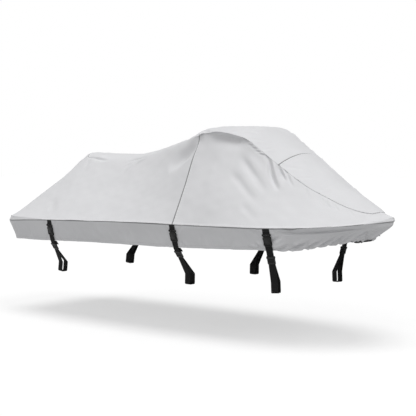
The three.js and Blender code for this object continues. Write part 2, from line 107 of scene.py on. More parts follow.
# Shader tools
class Value:                    # a socket that sums can be written with
    def __init__(self, finish, socket):
        self.finish, self.socket = finish, socket

    def sum(self, operation, *values):
        return self.finish.node("Math", {"operation": operation}, dict(enumerate(values)))

    def __add__(self, other):
        return self.sum("ADD", self, other)

    def __sub__(self, other):
        return self.sum("SUBTRACT", self, other)

    def __rsub__(self, other):
        return self.sum("SUBTRACT", other, self)

    def __mul__(self, other):
        return self.sum("MULTIPLY", self, other)

    def __truediv__(self, other):
        return self.sum("DIVIDE", self, other)

    def __rtruediv__(self, other):
        return self.sum("DIVIDE", other, self)

    def __abs__(self):
        return self.sum("ABSOLUTE", self)

    def __gt__(self, other):
        return self.sum("GREATER_THAN", self, other)

    def __lt__(self, other):
        return self.sum("LESS_THAN", self, other)

    __radd__, __rmul__ = __add__, __mul__

    def sine(self):
        return self.sum("SINE", self)

    def fraction(self):
        return self.sum("FRACT", self)

    def between(self, low, high):           # 0 at low, 1 at high, smooth on the way
        ends = {"From Min": low, "From Max": high, "Value": self}
        return self.finish.node("MapRange", {"interpolation_type": "SMOOTHSTEP"}, ends)


class Finish:                   # a material or the world, and the way its nodes are made
    def __init__(self, owner):
        self.owner = owner
        owner.use_nodes = True
        self.tree = owner.node_tree
        self.tree.nodes.clear()

    def node(self, kind, settings, inputs, output=0):
        made = self.tree.nodes.new("ShaderNode" + kind)
        for name, value in settings.items():
            setattr(made, name, value)
        for name, value in inputs.items():
            if isinstance(value, Value):
                self.tree.links.new(value.socket, made.inputs[name])
            else:
                made.inputs[name].default_value = value
        return Value(self, made.outputs[output]) if made.outputs else None

    def seenRays(self):                     # 1 for what the camera sees straight on or in gloss
        camera, glossy, through = [self.node("LightPath", {}, {}, f"Is {name} Ray")
                                   for name in ("Camera", "Glossy", "Transmission")]
        return (camera + glossy + through) > .5

    def mixed(self, factor, first, second):
        return self.node("Mix", {"data_type": "RGBA"}, {0: factor, 6: first, 7: second}, 2)

    # Over a base, a second colour where a value is past low: all of its share past high.
    def blended(self, base, value, second, low, high, share):
        return self.mixed(value.between(low, high) * share, base, second)

    def noise(self, place, scale, detail):
        return self.node("TexNoise", {}, {"Vector": place, "Scale": scale, "Detail": detail}, "Fac")

    def attribute(self, name):
        return self.node("Attribute", {"attribute_name": name}, {}, "Fac")

    def close(self, surface, output="OutputMaterial"):
        self.node(output, {}, {"Surface": surface})
        return self.owner

    def surface(self, look, color, roughness, height):     # height in metres
        bump = self.node("Bump", {}, {"Height": height, "Strength": look["bump"], "Distance": 1.0})
        inputs = {"Base Color": color, "Roughness": roughness, "Normal": bump}
        return self.close(self.node("BsdfPrincipled", {}, {**inputs, **look["shader"]}))


def grey(level, tint=(1, 1, 1)):            # a colour from the level that it is seen at
    return tuple(((level * share + .055) / 1.055) ** 2.4 for share in tint) + (1,)


def dimmed(color, share):
    return tuple(level * share for level in color[:3]) + (1,)


def floorFinish():
    finish = Finish(bpy.data.materials.new("floor"))
    matt = finish.node("BsdfDiffuse", {}, {"Color": studio["floorColor"]})
    glow = finish.node("Emission", {}, {"Strength": finish.seenRays() * studio["floorGlow"]})
    return finish.close(finish.node("AddShader", {}, {0: matt, 1: glow}))


def addFloor():
    half, level = studio["floorSize"] / 2, cadLow.z - studio["floorDrop"]
    corners = [(-half, -half, level), (half, -half, level), (half, half, level), (-half, half, level)]
    mesh = bpy.data.meshes.new("floor")
    mesh.from_pydata(corners, [], [(0, 1, 2, 3)])
    mesh.materials.append(floorFinish())
    addObject("floor", mesh)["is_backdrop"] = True


def setWorld():
    world = bpy.data.worlds.new("studio")
    bpy.context.scene.world = world
    finish = Finish(world)
    light, backdrop = [
        finish.node("Background", {}, {"Color": studio["worldColor"], "Strength": studio[strength]})
        for strength in ("worldLight", "backdrop")]
    mix = finish.node("MixShader", {}, {0: finish.seenRays(), 1: light, 2: backdrop})
    finish.close(mix, "OutputWorld")


addCamera()
for lamp in studio["lamps"]:
    addLamp(**lamp)
addFloor()
setWorld()
bpy.context.scene.view_settings.view_transform = "Standard"
print("camera, lamps and floor")

# Finishes. Cloth meshes carry the map "weave", in metres, and for each point its distance from a
# seam that the panel covers (over), from one that it passes under (under) and from the hem (hem),
# with the distance along that seam (run). A blend is the range over which a second colour comes
# in, and its share. A noise is its scale and detail.
cloth = {
    # shade: the share of the colour left in the painted shade of seams and needle holes
    "upper": {"name": "cloth", "level": .885, "tint": (.990, .991, 1.0), "shade": .36},
    # The skirt is the same cloth as the upper; its lower level is painted shade, for a band that faces
    # down under the rail seam.
    "skirt": {"name": "skirt", "level": .865, "tint": (.988, .990, 1.0), "shade": .42},
    "dim": .90,                         # share of the colour in clouds and slubs
    "thread": .0007,
    "clouds": {"noise": (5.5, 4), "blend": (.30, .72, .28)},
    "slubs": {"noise": (140, 3), "blend": (.45, .75, .30)},
    "underSeam": (.0046, .0098),        # painted seam shade, from full to none, away from the seam
    # painted shade at the very edge of a seam that the panel covers
    "overSeam": (0, .0011),
    # a painted highlight on the raised strip beside a seam that the panel covers
    "doubled": {"range": (.0095, .0150), "share": .45, "lighter": .06},
    "stitchRows": (.0035, .0095),       # from a seam
    "hemRows": (.0205, .0240),          # from the hem
    "stitch": {"length": .0042, "filled": .72, "halfWidth": .00055, "dim": .86, "share": .75},
    "needle": {"ahead": .86, "share": .5},              # its hole at the stitch's end, in painted shade
    "roughness": .78, "cloudRoughness": .10, "threadRoughness": .03,
    "heights": (.00006, .00025, .00030),                # of threads, slubs and stitches
    "bump": .55,
    "shader": {"Sheen Weight": .12, "Sheen Roughness": .45, "Specular IOR Level": .32},
}
webbingLook = {
    "level": .07, "tint": (1, 1, 1.02), "lighterBy": .10, "stitched": .16,
    "rib": .0016, "ribShare": .45, "twill": .0044, "twillShare": .55, "slant": 1.15,
    "weaveBlend": (-.6, 1, .45),
    "dust": {"noise": (34, 4), "blend": (.52, .80, .35)},
    "fuzz": (900, 3), "stitchShare": .8,
    "roughness": .62, "fuzzRoughness": .14,
    "heights": (.00022, .00012, .0003),                 # of weave, fuzz and stitches
    "bump": .8,
    "shader": {"Specular IOR Level": .12},
}
plasticLook = {
    "level": .06, "tint": (1, 1, 1.02), "lighterBy": .11,
    "scuffs": {"noise": (60, 5), "blend": (.52, .78, .5)},
    # a painted highlight on convex edges
    "edges": (.52, .62, .5),
    "grain": (2600, 2), "grainHeight": .00006,
    "roughness": .34, "scuffRoughness": .22,
    "bump": .5,
    "shader": {"Specular IOR Level": .30},
}
elasticLook = {
    "level": .11, "light": .22, "braid": .0052, "braidBlend": (-.2, 1, .5),
    "fuzz": (1200, 2), "heights": (.0005, .0001),       # of braid and fuzz
    "roughness": .66, "fuzzRoughness": .12,
    "bump": .8,
    "shader": {"Specular IOR Level": .12},
}


def weaveOf(finish):                        # the map "weave", and its two directions
    place = finish.node("UVMap", {"uv_map": "weave"}, {})
    return [place] + [finish.node("SeparateXYZ", {}, {0: place}, axis) for axis in (0, 1)]


def stripes(place, pitch):
    return (place * (2 * math.pi / pitch)).sine()


def stitchesAt(distance, run, rows):
    stitch = cloth["stitch"]
    first, second = [abs(distance - row) < stitch["halfWidth"] for row in rows]
    return (first + second) * ((run / stitch["length"]).fraction() < stitch["filled"])


def clothFinish(look):
    finish = Finish(bpy.data.materials.new(look["name"]))
    place, along, across = weaveOf(finish)
    over, under, hem, run = [finish.attribute(name) for name in ("over", "under", "hem", "run")]
    color = grey(look["level"], look["tint"])
    rows, stitch, doubled = cloth["stitchRows"], cloth["stitch"], cloth["doubled"]
    # The darker colour is painted shade, for the grooves beside seams and for needle holes.
    dim, paintedShade = dimmed(color, cloth["dim"]), dimmed(color, look["shade"])
    # light is the painted highlight of the raised seam strip
    light = grey(look["level"] + doubled["lighter"], look["tint"])
    stitchColor = grey(look["level"] * stitch["dim"])

    threads = stripes(along, cloth["thread"]) * stripes(across, cloth["thread"])
    clouds, slubs = [finish.noise(place, *cloth[name]["noise"]) for name in ("clouds", "slubs")]
    stitches = stitchesAt(over, run, rows) + stitchesAt(hem, run, cloth["hemRows"])
    needle = stitchesAt(over, run + stitch["length"] * cloth["needle"]["ahead"], rows)
    # Painted shade in the groove beside a seam that the panel passes under, and at the edge of one that
    # it covers.
    seamShade = 1 - under.between(*cloth["underSeam"]) + (1 - over.between(*cloth["overSeam"]))
    # Painted highlight on the raised strip beside a covered seam.
    stripHighlightMask = 1 - over.between(*doubled["range"])

    base = finish.blended(color, clouds, dim, *cloth["clouds"]["blend"])
    base = finish.blended(base, slubs, dim, *cloth["slubs"]["blend"])
    base = finish.mixed(stripHighlightMask * doubled["share"], base, light)
    base = finish.mixed(seamShade.between(0, 1), base, paintedShade)
    # Painted shade in the needle holes.
    base = finish.blended(base, needle, paintedShade, 0, 1, cloth["needle"]["share"])
    base = finish.blended(base, stitches, stitchColor, 0, 1, stitch["share"])
    roughness = clouds * cloth["cloudRoughness"] + cloth["roughness"]
    roughness = roughness + threads * cloth["threadRoughness"]
    heights = cloth["heights"]
    height = threads * heights[0] + slubs * heights[1] + stitches * heights[2]
    return finish.surface(cloth, base, roughness, height)


def webbingFinish(look):
    finish = Finish(bpy.data.materials.new("webbing"))
    place, along, across = weaveOf(finish)
    twill = stripes(abs(across) * look["slant"] + along, look["twill"])
    weave = stripes(along, look["rib"]) * look["ribShare"] + twill * look["twillShare"]
    fuzz, dust = finish.noise(place, *look["fuzz"]), finish.noise(place, *look["dust"]["noise"])
    stitch = finish.attribute("stitch")
    light = grey(look["level"] + look["lighterBy"], look["tint"])
    base = finish.blended(grey(look["level"], look["tint"]), weave, light, *look["weaveBlend"])
    base = finish.blended(base, dust, light, *look["dust"]["blend"])
    base = finish.mixed(stitch * look["stitchShare"], base, grey(look["level"] + look["stitched"]))
    heights = look["heights"]
    height = weave * heights[0] + fuzz * heights[1] + stitch * heights[2]
    return finish.surface(look, base, fuzz * look["fuzzRoughness"] + look["roughness"], height)


def plasticFinish(look):
    finish = Finish(bpy.data.materials.new("plastic"))
    place = finish.node("TexCoord", {}, {}, "Object")
    grain, scuffs = finish.noise(place, *look["grain"]), finish.noise(place, *look["scuffs"]["noise"])
    edges = finish.node("NewGeometry", {}, {}, "Pointiness")
    light = grey(look["level"] + look["lighterBy"], look["tint"])
    base = finish.blended(grey(look["level"], look["tint"]), scuffs, light, *look["scuffs"]["blend"])
    # Painted highlight on the convex edges, in the lighter colour; the scuffs above are wear.
    base = finish.blended(base, edges, light, *look["edges"])
    roughness = scuffs * look["scuffRoughness"] + look["roughness"]
    return finish.surface(look, base, roughness, grain * look["grainHeight"])


def elasticFinish(look):
    finish = Finish(bpy.data.materials.new("elastic"))
    place, along, across = weaveOf(finish)
    first, second = stripes(along + across, look["braid"]), stripes(along - across, look["braid"])
    braid = finish.node("Math", {"operation": "MAXIMUM"}, {0: first, 1: second})
    base = finish.blended(grey(look["level"]), braid, grey(look["light"]), *look["braidBlend"])
    fuzz = finish.noise(place, *look["fuzz"])
    height = braid * look["heights"][0] + fuzz * look["heights"][1]
    return finish.surface(look, base, fuzz * look["fuzzRoughness"] + look["roughness"], height)


finishes = {
    "cloth": clothFinish(cloth["upper"]),
    "skirt": clothFinish(cloth["skirt"]),
    "webbing": webbingFinish(webbingLook),
    "plastic": plasticFinish(plasticLook),
    "elastic": elasticFinish(elasticLook),
}
print("finishes:", ", ".join(finishes))

# The cover's shape, in metres from a point on the middle line at the rail's height. The part's own
# origin lies at coverOrigin from that point.
coverOrigin = np.array([.380, 0, .694])

# Ribs from the stern corner to the end of the nose panel: rail is the seam between upper cloth and
# skirt, lip the upright strip above it, edge the line where side and top meet, top the middle line.
ribTable = {
    "columns": "railX railY railZ hemX hemY hemZ lip edgeX edgeY edgeZ topX topZ round tuck sag",
    "rows": [
        [-1.662, .480, -.050, -1.618, .438, -.203, .036, -1.640, .476, -.014, -1.672, -.014, 2.0, 0, 0],
        [-1.565, .520, -.045, -1.560, .462, -.201, .032, -1.572, .458, .023, -1.606, .025, 2.0, 0, .002],
        [-1.400, .550, -.035, -1.380, .495, -.198, .022, -1.405, .374, .156, -1.443, .166, 2.1, 0, .008],
        [-1.225, .566, -.027, -1.213, .511, -.194, .010, -1.233, .270, .302, -1.283, .320, 2.3, 0, .012],
        [-1.050, .580, -.020, -1.044, .524, -.189, 0, -1.050, .160, .472, -1.120, .509, 2.6, 0, .014],
        [-.840, .590, -.015, -.837, .534, -.183, 0, -.840, .164, .455, -.845, .499, 2.6, 0, .016],
        [-.580, .601, -.009, -.580, .545, -.178, 0, -.575, .172, .459, -.575, .499, 2.4, 0, .018],
        [-.340, .607, -.004, -.340, .551, -.174, 0, -.325, .200, .492, -.325, .538, 2.3, 0, .018],
        [-.100, .611, -.001, -.100, .554, -.172, 0, -.075, .252, .552, -.075, .600, 2.4, 0, .018],
        [.090, .612, 0, .090, .555, -.170, 0, .118, .308, .600, .118, .624, 3.0, 0, .016],
        [.245, .612, 0, .243, .554, -.167, 0, .280, .362, .632, .280, .687, 4.6, .004, .012],
        [.430, .609, 0, .426, .552, -.162, 0, .455, .376, .649, .455, .696, 3.4, .030, .004],
        [.640, .600, .001, .632, .543, -.157, 0, .650, .340, .614, .652, .694, 3.0, .030, 0],
        [.790, .587, .001, .778, .529, -.154, 0, .800, .323, .519, .805, .588, 2.4, .016, 0],
        [.930, .564, .001, .910, .504, -.152, 0, .934, .300, .416, .971, .493, 2.2, .008, 0],
        [1.050, .534, .002, 1.020, .470, -.156, 0, 1.045, .288, .342, 1.060, .432, 2.1, .004, 0],
        [1.160, .497, .005, 1.112, .422, -.155, 0, 1.150, .271, .275, 1.155, .368, 2.0, 0, 0],
        [1.280, .443, .011, 1.205, .350, -.143, 0, 1.270, .236, .208, 1.270, .283, 2.0, 0, 0],
        [1.400, .343, .018, 1.290, .262, -.126, 0, 1.390, .184, .143, 1.392, .210, 2.0, 0, 0],
        [1.490, .252, .026, 1.358, .182, -.110, .003, 1.484, .141, .107, 1.484, .150, 2.0, 0, 0],
        [1.556, .168, .033, 1.412, .125, -.095, .006, 1.538, .080, .094, 1.554, .101, 2.0, 0, 0],
    ],
    "lipLean": 1 / 9,
    "leastLip": .005,       # a lower lip is left out
    "tuckPeak": 9.5,        # makes a tuck its full depth a quarter of the way down
    "tuckDrop": 1 / 3,      # how far a tuck or sag also goes down, as a share of its depth
}
sternCorner, seatCorner, crossSeam, hoodSeam, noseEnd = -1.662, -1.050, .245, .930, 1.556
sternEnd = {"railOut": -.033, "hemOut": -.026, "railRise": -.002, "hemRise": -.002, "power": 6}
bowEnd = {"railOut": .092, "hemOut": .063, "railRise": .015, "hemRise": .008, "power": 1.4, "lip": .025}


# A smooth curve through values at given places that never overshoots them.
def track(places, values):
    gaps = np.diff(places)
    slopes = np.diff(values) / gaps
    tangents = np.concatenate([slopes[:1], np.zeros(len(slopes) - 1), slopes[-1:]])
    for i in range(1, len(slopes)):
        if slopes[i - 1] * slopes[i] > 0:
            before, after = 2 * gaps[i] + gaps[i - 1], gaps[i] + 2 * gaps[i - 1]
            tangents[i] = (before + after) / (before / slopes[i - 1] + after / slopes[i])

    def at(place):
        i = np.clip(np.searchsorted(places, place) - 1, 0, len(gaps) - 1)
        t = (place - places[i]) / gaps[i]
        rise = t * t * (3 - 2 * t)
        leave, arrive = t * (1 - t) ** 2 * gaps[i], -t * t * (1 - t) * gaps[i]
        bow = tangents[i] * leave + tangents[i + 1] * arrive
        return values[i] + (values[i + 1] - values[i]) * rise + bow

    return at


ribPlaces = np.array([row[0] for row in ribTable["rows"]])
ribTracks = {
    name: track(ribPlaces, np.array([row[i] for row in ribTable["rows"]], float))
    for i, name in enumerate(ribTable["columns"].split())
}


def ribsAt(places):
    rib = {name: curve(np.asarray(places, float)) for name, curve in ribTracks.items()}
    rib["lip"] = np.where(rib["lip"] < ribTable["leastLip"], 0, rib["lip"])
    return rib


def asPoints(x, y, z):
    return np.stack(np.broadcast_arrays(x, y, z), -1) - coverOrigin


# Points of the top panels, across from -1 at the starboard edge to 1 at the port edge.
def topPoints(rib, across):
    spread = np.abs(across)
    slope = (seatCorner - rib["railX"]) / (seatCorner - sternCorner)
    outline = 2 + (sternEnd["power"] - 2) * np.maximum(0, slope)
    return asPoints(
        rib["edgeX"] + (rib["topX"] - rib["edgeX"]) * (1 - spread ** outline),
        rib["edgeY"] * across,
        rib["topZ"] - (rib["topZ"] - rib["edgeZ"]) * spread ** rib["round"])


# Points of the side panels, drop from 0 at the edge to 1 at the top of the lip.
def sidePoints(rib, drop, side):
    tuck = rib["tuck"] * ribTable["tuckPeak"] * drop * (1 - drop) ** 3
    inward = tuck + rib["sag"] * 4 * drop * (1 - drop)
    lowX = rib["railX"] + (rib["edgeX"] - rib["railX"]) * rib["lip"] / (rib["edgeZ"] - rib["railZ"])
    lowY = rib["railY"] - rib["lip"] * ribTable["lipLean"]
    lowZ = rib["railZ"] + rib["lip"]
    return asPoints(
        rib["edgeX"] + (lowX - rib["edgeX"]) * drop,
        (rib["edgeY"] + (lowY - rib["edgeY"]) * drop - inward) * side,
        rib["edgeZ"] + (lowZ - rib["edgeZ"]) * drop - inward * ribTable["tuckDrop"])


def linePoints(rib, line, side):
    return asPoints(rib[line + "X"], rib[line + "Y"] * side, rib[line + "Z"])


# Rail or hem across an end of the cover, from -1 at the starboard corner to 1 at port.
def endPoints(end, rib, line, across):
    middle = 1 - np.abs(across) ** end["power"]
    return asPoints(
        rib[line + "X"] + end[line + "Out"] * middle,
        rib[line + "Y"] * across,
        rib[line + "Z"] + end[line + "Rise"] * middle)


# Mesh tools
def unit(vectors):
    return vectors / np.maximum(np.linalg.norm(vectors, axis=-1, keepdims=True), 1e-12)


# Grids of points hold one section of the cover after another (axis 0), each from row to row (axis 1).
def distances(points, axis):                # how far along that axis each point is
    steps = np.linalg.norm(np.diff(points, axis=axis), axis=-1)
    start = np.zeros_like(np.take(steps, [0], axis=axis))
    return np.concatenate([start, np.cumsum(steps, axis=axis)], axis=axis)


def bell(distance, width):
    return np.exp(-(distance / width) ** 2)


def rounded(t):                             # 0 to 1, smooth at both ends
    t = np.clip(t, 0, 1)
    return t * t * (3 - 2 * t)


# Rows this far from a seam give its raised strip a shape.
seamRows = np.array([0, .0012, .0026, .0044, .0070, .0104, .0145, .0195])


# Places along a length, close together next to its seams and evenly spaced between them.
def spaced(length, count, seams):
    first = seamRows if seams[0] else np.zeros(1)
    last = length - (seamRows[::-1] if seams[1] else np.zeros(1))
    between = np.linspace(first[-1], last[0], count - len(first) - len(last) + 2)[1:-1]
    return np.concatenate([first, between, last])


def places(start, end, step, seams):        # the same, about a step apart
    count = int(round((end - start) / step)) + (len(seamRows) - 2) * sum(seams)
    return start + spaced(end - start, max(count, 2 * len(seamRows) + 4), seams)


# Sections of many points each, cut down to rows spaced along their own lengths. shares are the
# rows' places from 0 to 1 in the section that was given.
def resampled(sections, count, seams):
    rows, shares = [], []
    for section, length in zip(sections, distances(sections, 1)):
        at = spaced(length[-1], count, seams)
        rows.append(np.stack([np.interp(at, length, section[:, k]) for k in range(3)], 1))
        shares.append(np.interp(at, length, np.linspace(0, 1, len(length))))
    return np.array(rows), np.array(shares)


def curve(steps, points):                   # a line through a few points, in even steps
    points = np.array(points, float)
    t = distances(points[None], 1)[0]
    at = np.linspace(0, t[-1], steps)
    return np.stack([track(t, values)(at) for values in points.T], 1)


def gridNormals(points, turned=False):
    along, across = np.gradient(points, axis=0), np.gradient(points, axis=1)
    normals = unit(np.cross(along, across))
    return -normals if turned else normals


# Evenly scattered swells of about one size, the same on each run: waves of several lengths and ways.
swellWaves = {"count": 9, "lengths": (.7, 1.5), "turn": 6.3}


def swell(points, size, seed):
    dice = np.random.RandomState(seed)
    total = 0
    for _ in range(swellWaves["count"]):
        way = unit(dice.normal(size=3)) * 2 * math.pi / (size * dice.uniform(*swellWaves["lengths"]))
        total = total + np.sin(points @ way + dice.uniform(0, swellWaves["turn"]))
    return total / math.sqrt(swellWaves["count"])


# A crease: a line of points on the cloth, the half width and depth of its trough, and the height
# of the roll beside it. A pair of half widths is for its upper and its lower side. start is how
# much of it there is where it begins; it always runs out.
creaseShape = {
    "steps": 14,                        # of its line
    "fadeIn": .35, "fadeOut": .55, "fadePower": .7,         # shares of its length
    "pastEnds": 1.2, "rollAway": 2.0, "rollWidth": 1.3, "reach": 4.5,       # in half widths
    "upward": .3,                       # how much up counts beside forward, for its upper side
}


def creaseShift(points, normals, line, width, depth, roll, start):
    shape, shift = creaseShape, np.zeros(points.shape[:-1])
    upper, lower = width if isinstance(width, tuple) else (width, width)
    reach = shape["reach"] * upper + 2 * (lower - upper)
    inside = ((points > line.min(0) - reach) & (points < line.max(0) + reach)).all(-1)
    near, normal = points[inside], normals[inside]
    if len(near) == 0:
        return shift
    lengths = distances(line[None], 1)[0]
    nearest = np.full(len(near), np.inf)
    aside, beyond, along = np.zeros((3, len(near)))
    for i, run in enumerate(np.diff(line, axis=0)):
        length, offset = np.linalg.norm(run), near - line[i]
        place = offset @ run / length
        kept = np.clip(place, 0, length)
        distance = np.linalg.norm(offset - kept[:, None] * run / length, axis=1)
        way = unit(np.cross(normal, run))
        way = way * np.where(way[:, :1] + shape["upward"] * way[:, 2:] < 0, -1, 1)
        closer = distance < nearest
        nearest = np.where(closer, distance, nearest)
        aside = np.where(closer, np.sum(offset * way, 1), aside)
        beyond = np.where(closer, place - kept, beyond)
        along = np.where(closer, (lengths[i] + kept) / lengths[-1], along)
    fadeOut = rounded((1 - along) / shape["fadeOut"]) ** shape["fadePower"]
    strength = np.minimum(start + (1 - start) * rounded(along / shape["fadeIn"]), fadeOut)
    profile = -depth * bell(aside, np.where(aside < 0, lower, upper))
    profile += roll * bell(aside - shape["rollAway"] * upper, shape["rollWidth"] * upper)
    shift[inside] = profile * strength * bell(beyond, shape["pastEnds"] * upper)
    return shift


def setFields(mesh, fields):                # the map "weave", and a value for each point
    corners = np.zeros(len(mesh.loops), int)
    mesh.loops.foreach_get("vertex_index", corners)
    for name, values in fields.items():
        if name == "weave":
            mesh.uv_layers.new(name=name).data.foreach_set("uv", values[corners].ravel())
        else:
            mesh.attributes.new(name, "FLOAT", "POINT").data.foreach_set("value", values.ravel())


# The mesh of a grid of points, or of part of it, with a second layer at its thickness inside.
def sheetMesh(name, points, normals, thickness, kept, turned, fields):
    sections, rows = points.shape[:2]
    index = np.arange(sections * rows).reshape(sections, rows)
    quads = np.stack([index[:-1, :-1], index[1:, :-1], index[1:, 1:], index[:-1, 1:]], -1)
    quads = quads.reshape(-1, 4) if kept is None else quads[kept]
    if turned:
        quads = quads[:, ::-1]
    used, quads = np.unique(quads, return_inverse=True)
    quads, count = quads.reshape(-1, 4), len(used)
    edges = np.concatenate([quads[:, [k, (k + 1) % 4]] for k in range(4)])
    codes = edges[:, 0] * count + edges[:, 1]
    border = edges[~np.isin(codes, edges[:, 1] * count + edges[:, 0])]
    outer = points.reshape(-1, 3)[used]
    inner = outer - normals.reshape(-1, 3)[used] * thickness.reshape(-1, 1)[used]
    rim = np.stack([border[:, 1], border[:, 0], border[:, 0] + count, border[:, 1] + count], 1)
    faces = np.concatenate([quads, quads[:, ::-1] + count, rim])

    mesh = bpy.data.meshes.new(name)
    mesh.vertices.add(2 * count)
    mesh.vertices.foreach_set("co", np.concatenate([outer, inner]).ravel())
    mesh.loops.add(faces.size)
    mesh.loops.foreach_set("vertex_index", faces.ravel().astype(np.int32))
    mesh.polygons.add(len(faces))
    mesh.polygons.foreach_set("loop_start", np.arange(0, faces.size, 4, dtype=np.int32))
    mesh.update(calc_edges=True)
    mesh.validate()
    mesh.shade_smooth()

    ends = np.zeros(2 * len(mesh.edges), int)
    mesh.edges.foreach_get("vertices", ends)
    ends = np.sort(ends.reshape(-1, 2), axis=1)
    sharp = np.sort(np.concatenate([border, border + count]), axis=1)
    isSharp = np.isin(ends @ [2 * count, 1], sharp @ [2 * count, 1])
    mesh.attributes.new("sharp_edge", "BOOLEAN", "EDGE").data.foreach_set("value", isSharp)
    fields = {field: values.reshape(sections * rows, -1)[used] for field, values in fields.items()}
    setFields(mesh, {field: np.concatenate([values, values]) for field, values in fields.items()})
    return mesh


# The mesh of rings of points joined into a closed bar. Faces across the ring close its ends.
def barMesh(name, rings, turned, fields):
    turns, ring = rings.shape[:2]
    index = np.arange(turns * ring).reshape(turns, ring)
    following = np.roll(index, -1, axis=1)
    quads = np.stack([index[:-1], following[:-1], following[1:], index[1:]], -1).reshape(-1, 4)
    k = np.arange(ring // 2 - 1)
    first, last = [np.stack([row[k], row[ring - 1 - k], row[ring - 2 - k], row[k + 1]], 1)
                   for row in (index[0], index[-1])]
    faces = np.concatenate([quads, first, last[:, ::-1]])
    mesh = bpy.data.meshes.new(name)
    mesh.from_pydata(rings.reshape(-1, 3).tolist(), [], (faces[:, ::-1] if turned else faces).tolist())
    mesh.validate()
    mesh.shade_smooth()
    setFields(mesh, fields)
    return mesh


def addPiece(name, mesh, finish, nodes):
    mesh.materials.append(finishes[finish])
    piece = addObject(name, mesh)
    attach(piece, "root")
    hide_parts(*nodes)
    return piece


# Cloth
panels = {
    "thickness": .0012,
    "hemThickness": .0026,
    "hemDepth": .026,
    "strip": {"width": .0095, "height": .0020, "slope": .005},      # of the upper layer at a seam
    "stitches": {"width": .0014, "depth": .00045},
    "stripEdge": {"width": .0010, "depth": .0006},
    "groove": {"width": .0066, "depth": .0030},         # of the lower layer at a seam
    "hem": {"full": .024, "slope": .004, "height": .0006, "stitched": .0222,
            "stitchWidth": .0030, "stitchDepth": .0007, "edgeWidth": .0016, "edgeDepth": .0012,
            "wave": .012, "waveShare": .4},
    "pucker": {"length": .021, "height": .0012, "from": .008, "to": .075, "drift": .043,
               "driftShare": 2.2, "fade": .115, "faintest": .45},
    "plainShift": .02,      # a border that shows less plainly counts as this much further away
    "swells": [(.62, .0026, 3), (.24, .0016, 4), (.10, .0006, 5)],      # size, height and seed
    "skirtSwells": [(.30, .0030, 13), (.13, .0016, 14), (.06, .0007, 15)],
    "tongue": {"length": .010, "drop": .0010},          # of a panel on under the next one
    "far": .05,
}
bothSides, bothEnds = ((-1, "starboard"), (1, "port")), (True, True)


# Shifts and distances that a grid's four borders give it: first and last section, then first and
# last row, each "over", "under" or "hem", with how plainly it shows.
def bordered(points, normals, borders, seed):
    along, across = distances(points, 0), distances(points, 1)
    away = [along, along[-1:] - along, across, across[:, -1:] - across]
    runs = [across, across, along, along]
    fields = {kind: np.full(points.shape[:2], panels["far"]) for kind in ("over", "under", "hem")}
    run, closest = np.zeros(points.shape[:2]), np.full(points.shape[:2], np.inf)
    shift = np.zeros(points.shape[:2])
    for number, kind in enumerate(borders):
        kind, weight = kind if isinstance(kind, tuple) else (kind, 1)
        gap, beside = away[number] + panels["plainShift"] * (1 - weight), runs[number]
        fields[kind] = np.minimum(fields[kind], gap)
        closer = gap < closest
        run, closest = np.where(closer, beside, run), np.minimum(closest, gap)
        wave = puckers(beside, number, seed)
        if kind == "hem":
            shift += hemShift(gap, wave)
            continue
        pucker = panels["pucker"]
        reach = rounded(gap / pucker["from"]) * (1 - rounded(gap / pucker["to"])) ** 2
        shift += pucker["height"] * wave * reach
        if kind == "over":
            shift += weight * stripShift(gap)
        else:
            groove = panels["groove"]
            shift -= weight * groove["depth"] * bell(away[number], groove["width"])
    fields["run"] = run
    return shift, fields


def puckers(beside, number, seed):          # waves along a border, of a length and height that drift
    pucker = panels["pucker"]
    drift = pucker["driftShare"] * np.sin(beside / pucker["drift"] + number + seed)
    wave = np.sin(2 * math.pi * beside / pucker["length"] + drift)
    strength = np.sin(beside / pucker["fade"] + 2 * number + seed) ** 2
    return wave * (pucker["faintest"] + (1 - pucker["faintest"]) * strength)


def hemShift(gap, wave):
    hem = panels["hem"]
    height = hem["height"] * (1 - rounded((gap - hem["full"]) / hem["slope"]))
    stitched = hem["stitchDepth"] * bell(gap - hem["stitched"], hem["stitchWidth"])
    edge = hem["edgeDepth"] * bell(gap, hem["edgeWidth"])
    waved = hem["waveShare"] * panels["pucker"]["height"] * wave * bell(gap - hem["wave"], hem["wave"])
    return height - stitched - edge + waved


def raisedBy(gap):                          # the height of the upper layer at a seam
    strip = panels["strip"]
    return strip["height"] * (1 - rounded((gap - strip["width"]) / strip["slope"]))


def stripShift(gap):
    stitches, edge = panels["stitches"], panels["stripEdge"]
    dips = sum(bell(gap - row, stitches["width"]) for row in cloth["stitchRows"])
    return raisedBy(gap) - stitches["depth"] * dips - edge["depth"] * bell(gap, edge["width"])


def shaped(points, turned, borders, creases, swells, seed, calm=1):
    normals = gridNormals(points, turned)
    shift, fields = bordered(points, normals, borders, seed)
    for size, height, dice in swells:
        shift += height * swell(points, size, dice) * calm
    for line, *crease in creases:
        shift += creaseShift(points, normals, line, *crease)
    moved = points + normals * shift[..., None]
    fields["weave"] = np.stack([distances(points, 0), distances(points, 1)], -1)
    return moved, gridNormals(moved, turned), fields


def withTongue(points, normals, fields):    # past the last section
    tongue = panels["tongue"]
    onward = unit(points[-1:] - points[-2:-1]) * tongue["length"]
    end = points[-1:] + onward - normals[-1:] * tongue["drop"]
    fields = {name: np.concatenate([values, values[-1:]]) for name, values in fields.items()}
    return np.concatenate([points, end]), np.concatenate([normals, normals[-1:]]), fields


def addSheet(name, node, grid, flat, area, kept=None, turned=False, finish="cloth"):
    points, normals, fields = grid
    hem = panels["hemThickness"] - panels["thickness"]
    thickness = panels["thickness"] + hem * (fields["hem"] < panels["hemDepth"])
    mesh = sheetMesh(name, points, normals, thickness, kept, turned, fields)
    addPiece(name, mesh, finish, [node])


def onTop(rib, across, side):
    return topPoints(rib, -across * side)


